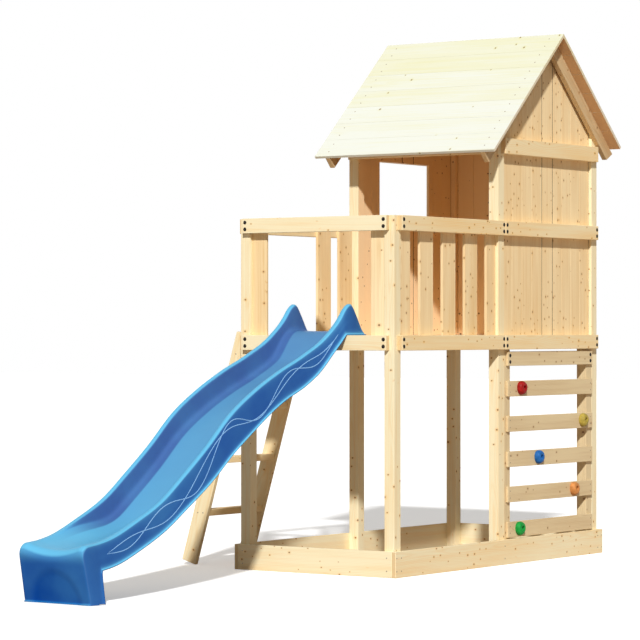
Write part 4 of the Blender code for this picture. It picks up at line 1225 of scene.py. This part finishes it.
def make_stones():
    """Rounded climbing stones, each with a recess for its bolt: an even curve through the outline's
    knots, turned round its axis."""
    for colour in STONE_COLOURS:
        node = "stone_" + colour
        low, high = corner_box(node)
        knots = np.array(STONE_OUTLINE) * ((high[2] - low[2]) / 2, high[0] - low[0])
        length = path_length(knots)
        inner = np.linspace(length[1], length[-2], STONE_RINGS)
        outline = np.stack([even_curve(length, knots[:, k], inner) for k in range(2)], axis=1)
        outline = [(STONE_TIP, knots[0, 1]), *outline.tolist(), (STONE_TIP, 0.0)]
        shape = turned_shape(outline, STONE_SIDES, STONE_WOBBLE)
        spot = (low[0], (low[1] + high[1]) / 2, (low[2] + high[2]) / 2)
        resin = stone_resin(node + "_resin", STONE_RESIN[colour])
        set_many(node + "_grip", shape, [(spot, AXES[0])], resin, node, node)


def between(low, high, shares):
    """Places at the given shares of the way from low to high."""
    return [low + (high - low) * share for share in shares]


def fasten(spots, node, axis, way, places, levels):
    """Adds a spot for every place and level on the node's face that looks the given way along an axis,
    X or Y."""
    face = corner_box(node)[1 if way > 0 else 0][axis]
    for place in places:
        for level in levels:
            spot = (place, face, level) if axis else (face, place, level)
            spots.append((spot, way * AXES[axis]))


def make_bolts():
    """Domed bolts on washers at the rails' ends, two one above the other, and small flush screws where
    boards cross what carries them."""
    bolts, screws = [], []
    for rail in BOLTED_RAILS:
        low, high = corner_box(rail)
        levels = between(low[2], high[2], BOLT_PAIR)
        if lies_across(rail):
            places = (low[0] + BOLT_FROM_END, high[0] - BOLT_FROM_END)
            fasten(bolts, rail, 1, -1 if high[1] < CABIN_MIDDLE else 1, places, levels)
        else:
            places = (low[1] + BOLT_FROM_END, POST_JOINT - BOLT_FROM_END, POST_JOINT + BOLT_FROM_END,
                      high[1] - BOLT_FROM_END)
            fasten(bolts, rail, 0, 1 if low[0] > CENTRE_X else -1, places, levels)
    for i in range(CLIMB_BOARDS):
        node = f"climb_board_{i + 1}"
        low, high = corner_box(node)
        for batten_low, batten_high in (corner_box("batten_front"), corner_box("batten_back")):
            y = (max(low[1], batten_low[1]) + min(high[1], batten_high[1])) / 2
            fasten(screws if i else bolts, node, 0, 1, [y], between(low[2], high[2], CLIMB_PAIR))
    for i in range(TREADS):
        low, high = corner_box(f"tread_{i + 1}")
        for node, way in (("stringer_front", -1), ("stringer_back", 1)):
            fasten(screws, node, 1, way, between(low[0], high[0], TREAD_PAIR), [(low[2] + high[2]) / 2])
    half_post = POST_SIDE / 2
    for side, axis, way in (("left", 0, -1), ("right", 0, 1), ("front", 1, -1), ("back", 1, 1)):
        node = "sandbox_" + side
        low, high = corner_box(node)
        if axis:
            places = (low[0] + half_post, high[0] - half_post)
        else:
            places = (low[1] + SCREW_FROM_END, BACK_HIGH[1] + SCREW_FROM_END, POST_LOW[1] + half_post,
                      POST_JOINT, BACK_LOW[1] + half_post)
        fasten(screws, node, axis, way, places, between(low[2], high[2], SANDBOX_PAIR))
    for _, side, rows, eave in ROOF_SLOPES:
        down, into = slope_axes(side)
        width = slope_length(eave) / rows
        for row in range(rows):
            for share in BOLT_PAIR:
                spot = np.array([0, CABIN_MIDDLE, RIDGE]) + down * (row + share) * width
                for x in (TOWER_LOW[0] - SCREW_FROM_TOWER, TOWER_HIGH[0] + SCREW_FROM_TOWER):
                    screws.append(((x, spot[1], spot[2]), -into))
    set_many("rail_bolts", turned_shape(BOLT_OUTLINE, BOLT_SIDES), bolts, BOLT_STEEL)
    set_many("board_screws", turned_shape(SCREW_OUTLINE, SCREW_SIDES), screws, SCREW_STEEL)


# Floor, light and camera

def seen_directly(n):
    """One for rays that show the background: from the camera, or by way of a mirror or glass."""
    path = n.new("LightPath").outputs
    return n.math("ADD", n.math("ADD", path["Is Camera Ray"], path["Is Glossy Ray"]),
                  path["Is Transmission Ray"], clamp=True)


def make_floor():
    """A pale floor that keeps the shadow and shows as white to the camera where no shadow falls."""
    corners = [(-1, -1, 0), (1, -1, 0), (1, 1, 0), (-1, 1, 0)]
    mesh = new_mesh("floor", np.array(corners) * FLOOR_HALF, [(0, 1, 2, 3)])
    floor = bpy.data.objects.new("floor", mesh)
    bpy.context.collection.objects.link(floor)
    material, n, shader = principled("floor_pale")
    shown = seen_directly(n)
    dress(n, shader, n.mix(shown, FLOOR_COLOUR, WHITE), rough=0.9, specular=0.1)
    shader.inputs["Emission Color"].default_value = (*WHITE, 1.0)
    n.feed(shader.inputs["Emission Strength"], n.math("MULTIPLY", shown, FLOOR_LIFT))
    mesh.materials.append(material)


def make_lights():
    """A soft sun lamp and an even sky, which shows as white to the camera."""
    lamp = bpy.data.lights.new("sun", "SUN")
    lamp.energy = SUN_STRENGTH
    lamp.angle = SUN_SOFTNESS
    sun = bpy.data.objects.new("sun", lamp)
    sun.rotation_euler = Vector(SUN_TOWARDS).to_track_quat("Z", "Y").to_euler()
    bpy.context.collection.objects.link(sun)
    world = bpy.data.worlds.new("studio")
    bpy.context.scene.world = world
    world.use_nodes = True
    n = Nodes(world.node_tree)
    background = world.node_tree.nodes["Background"]
    shown = seen_directly(n)
    n.feed(background.inputs["Color"], n.mix(shown, SKY_COLOUR, WHITE))
    n.feed(background.inputs["Strength"], n.math("MULTIPLY_ADD", shown, 1 - SKY_STRENGTH, SKY_STRENGTH))


def make_camera():
    """The camera stands where the photograph's did, level, and looks past the tower's left side."""
    scene = bpy.context.scene
    data = bpy.data.cameras.new("camera")
    data.lens = CAMERA_LENS
    data.sensor_width = FILM_WIDTH
    data.shift_y = CAMERA_SHIFT
    data.clip_end = CAMERA_REACH
    camera = bpy.data.objects.new("camera", data)
    camera.location = Vector((POST_HIGH[0], POST_LOW[1], 0.0)) + Vector(CAMERA_FROM_POST)
    camera.rotation_euler = (math.pi / 2, 0.0, CAMERA_TURN)
    bpy.context.collection.objects.link(camera)
    scene.camera = camera
    scene.view_settings.view_transform = "Standard"


make_posts()
make_frame()
make_side_wall("left")
make_side_wall("right")
make_back_wall()
make_balusters()
make_deck()
make_roof()
make_rafters()
make_stringers()
make_slide()
make_stones()
make_bolts()
make_floor()
make_lights()
make_camera()
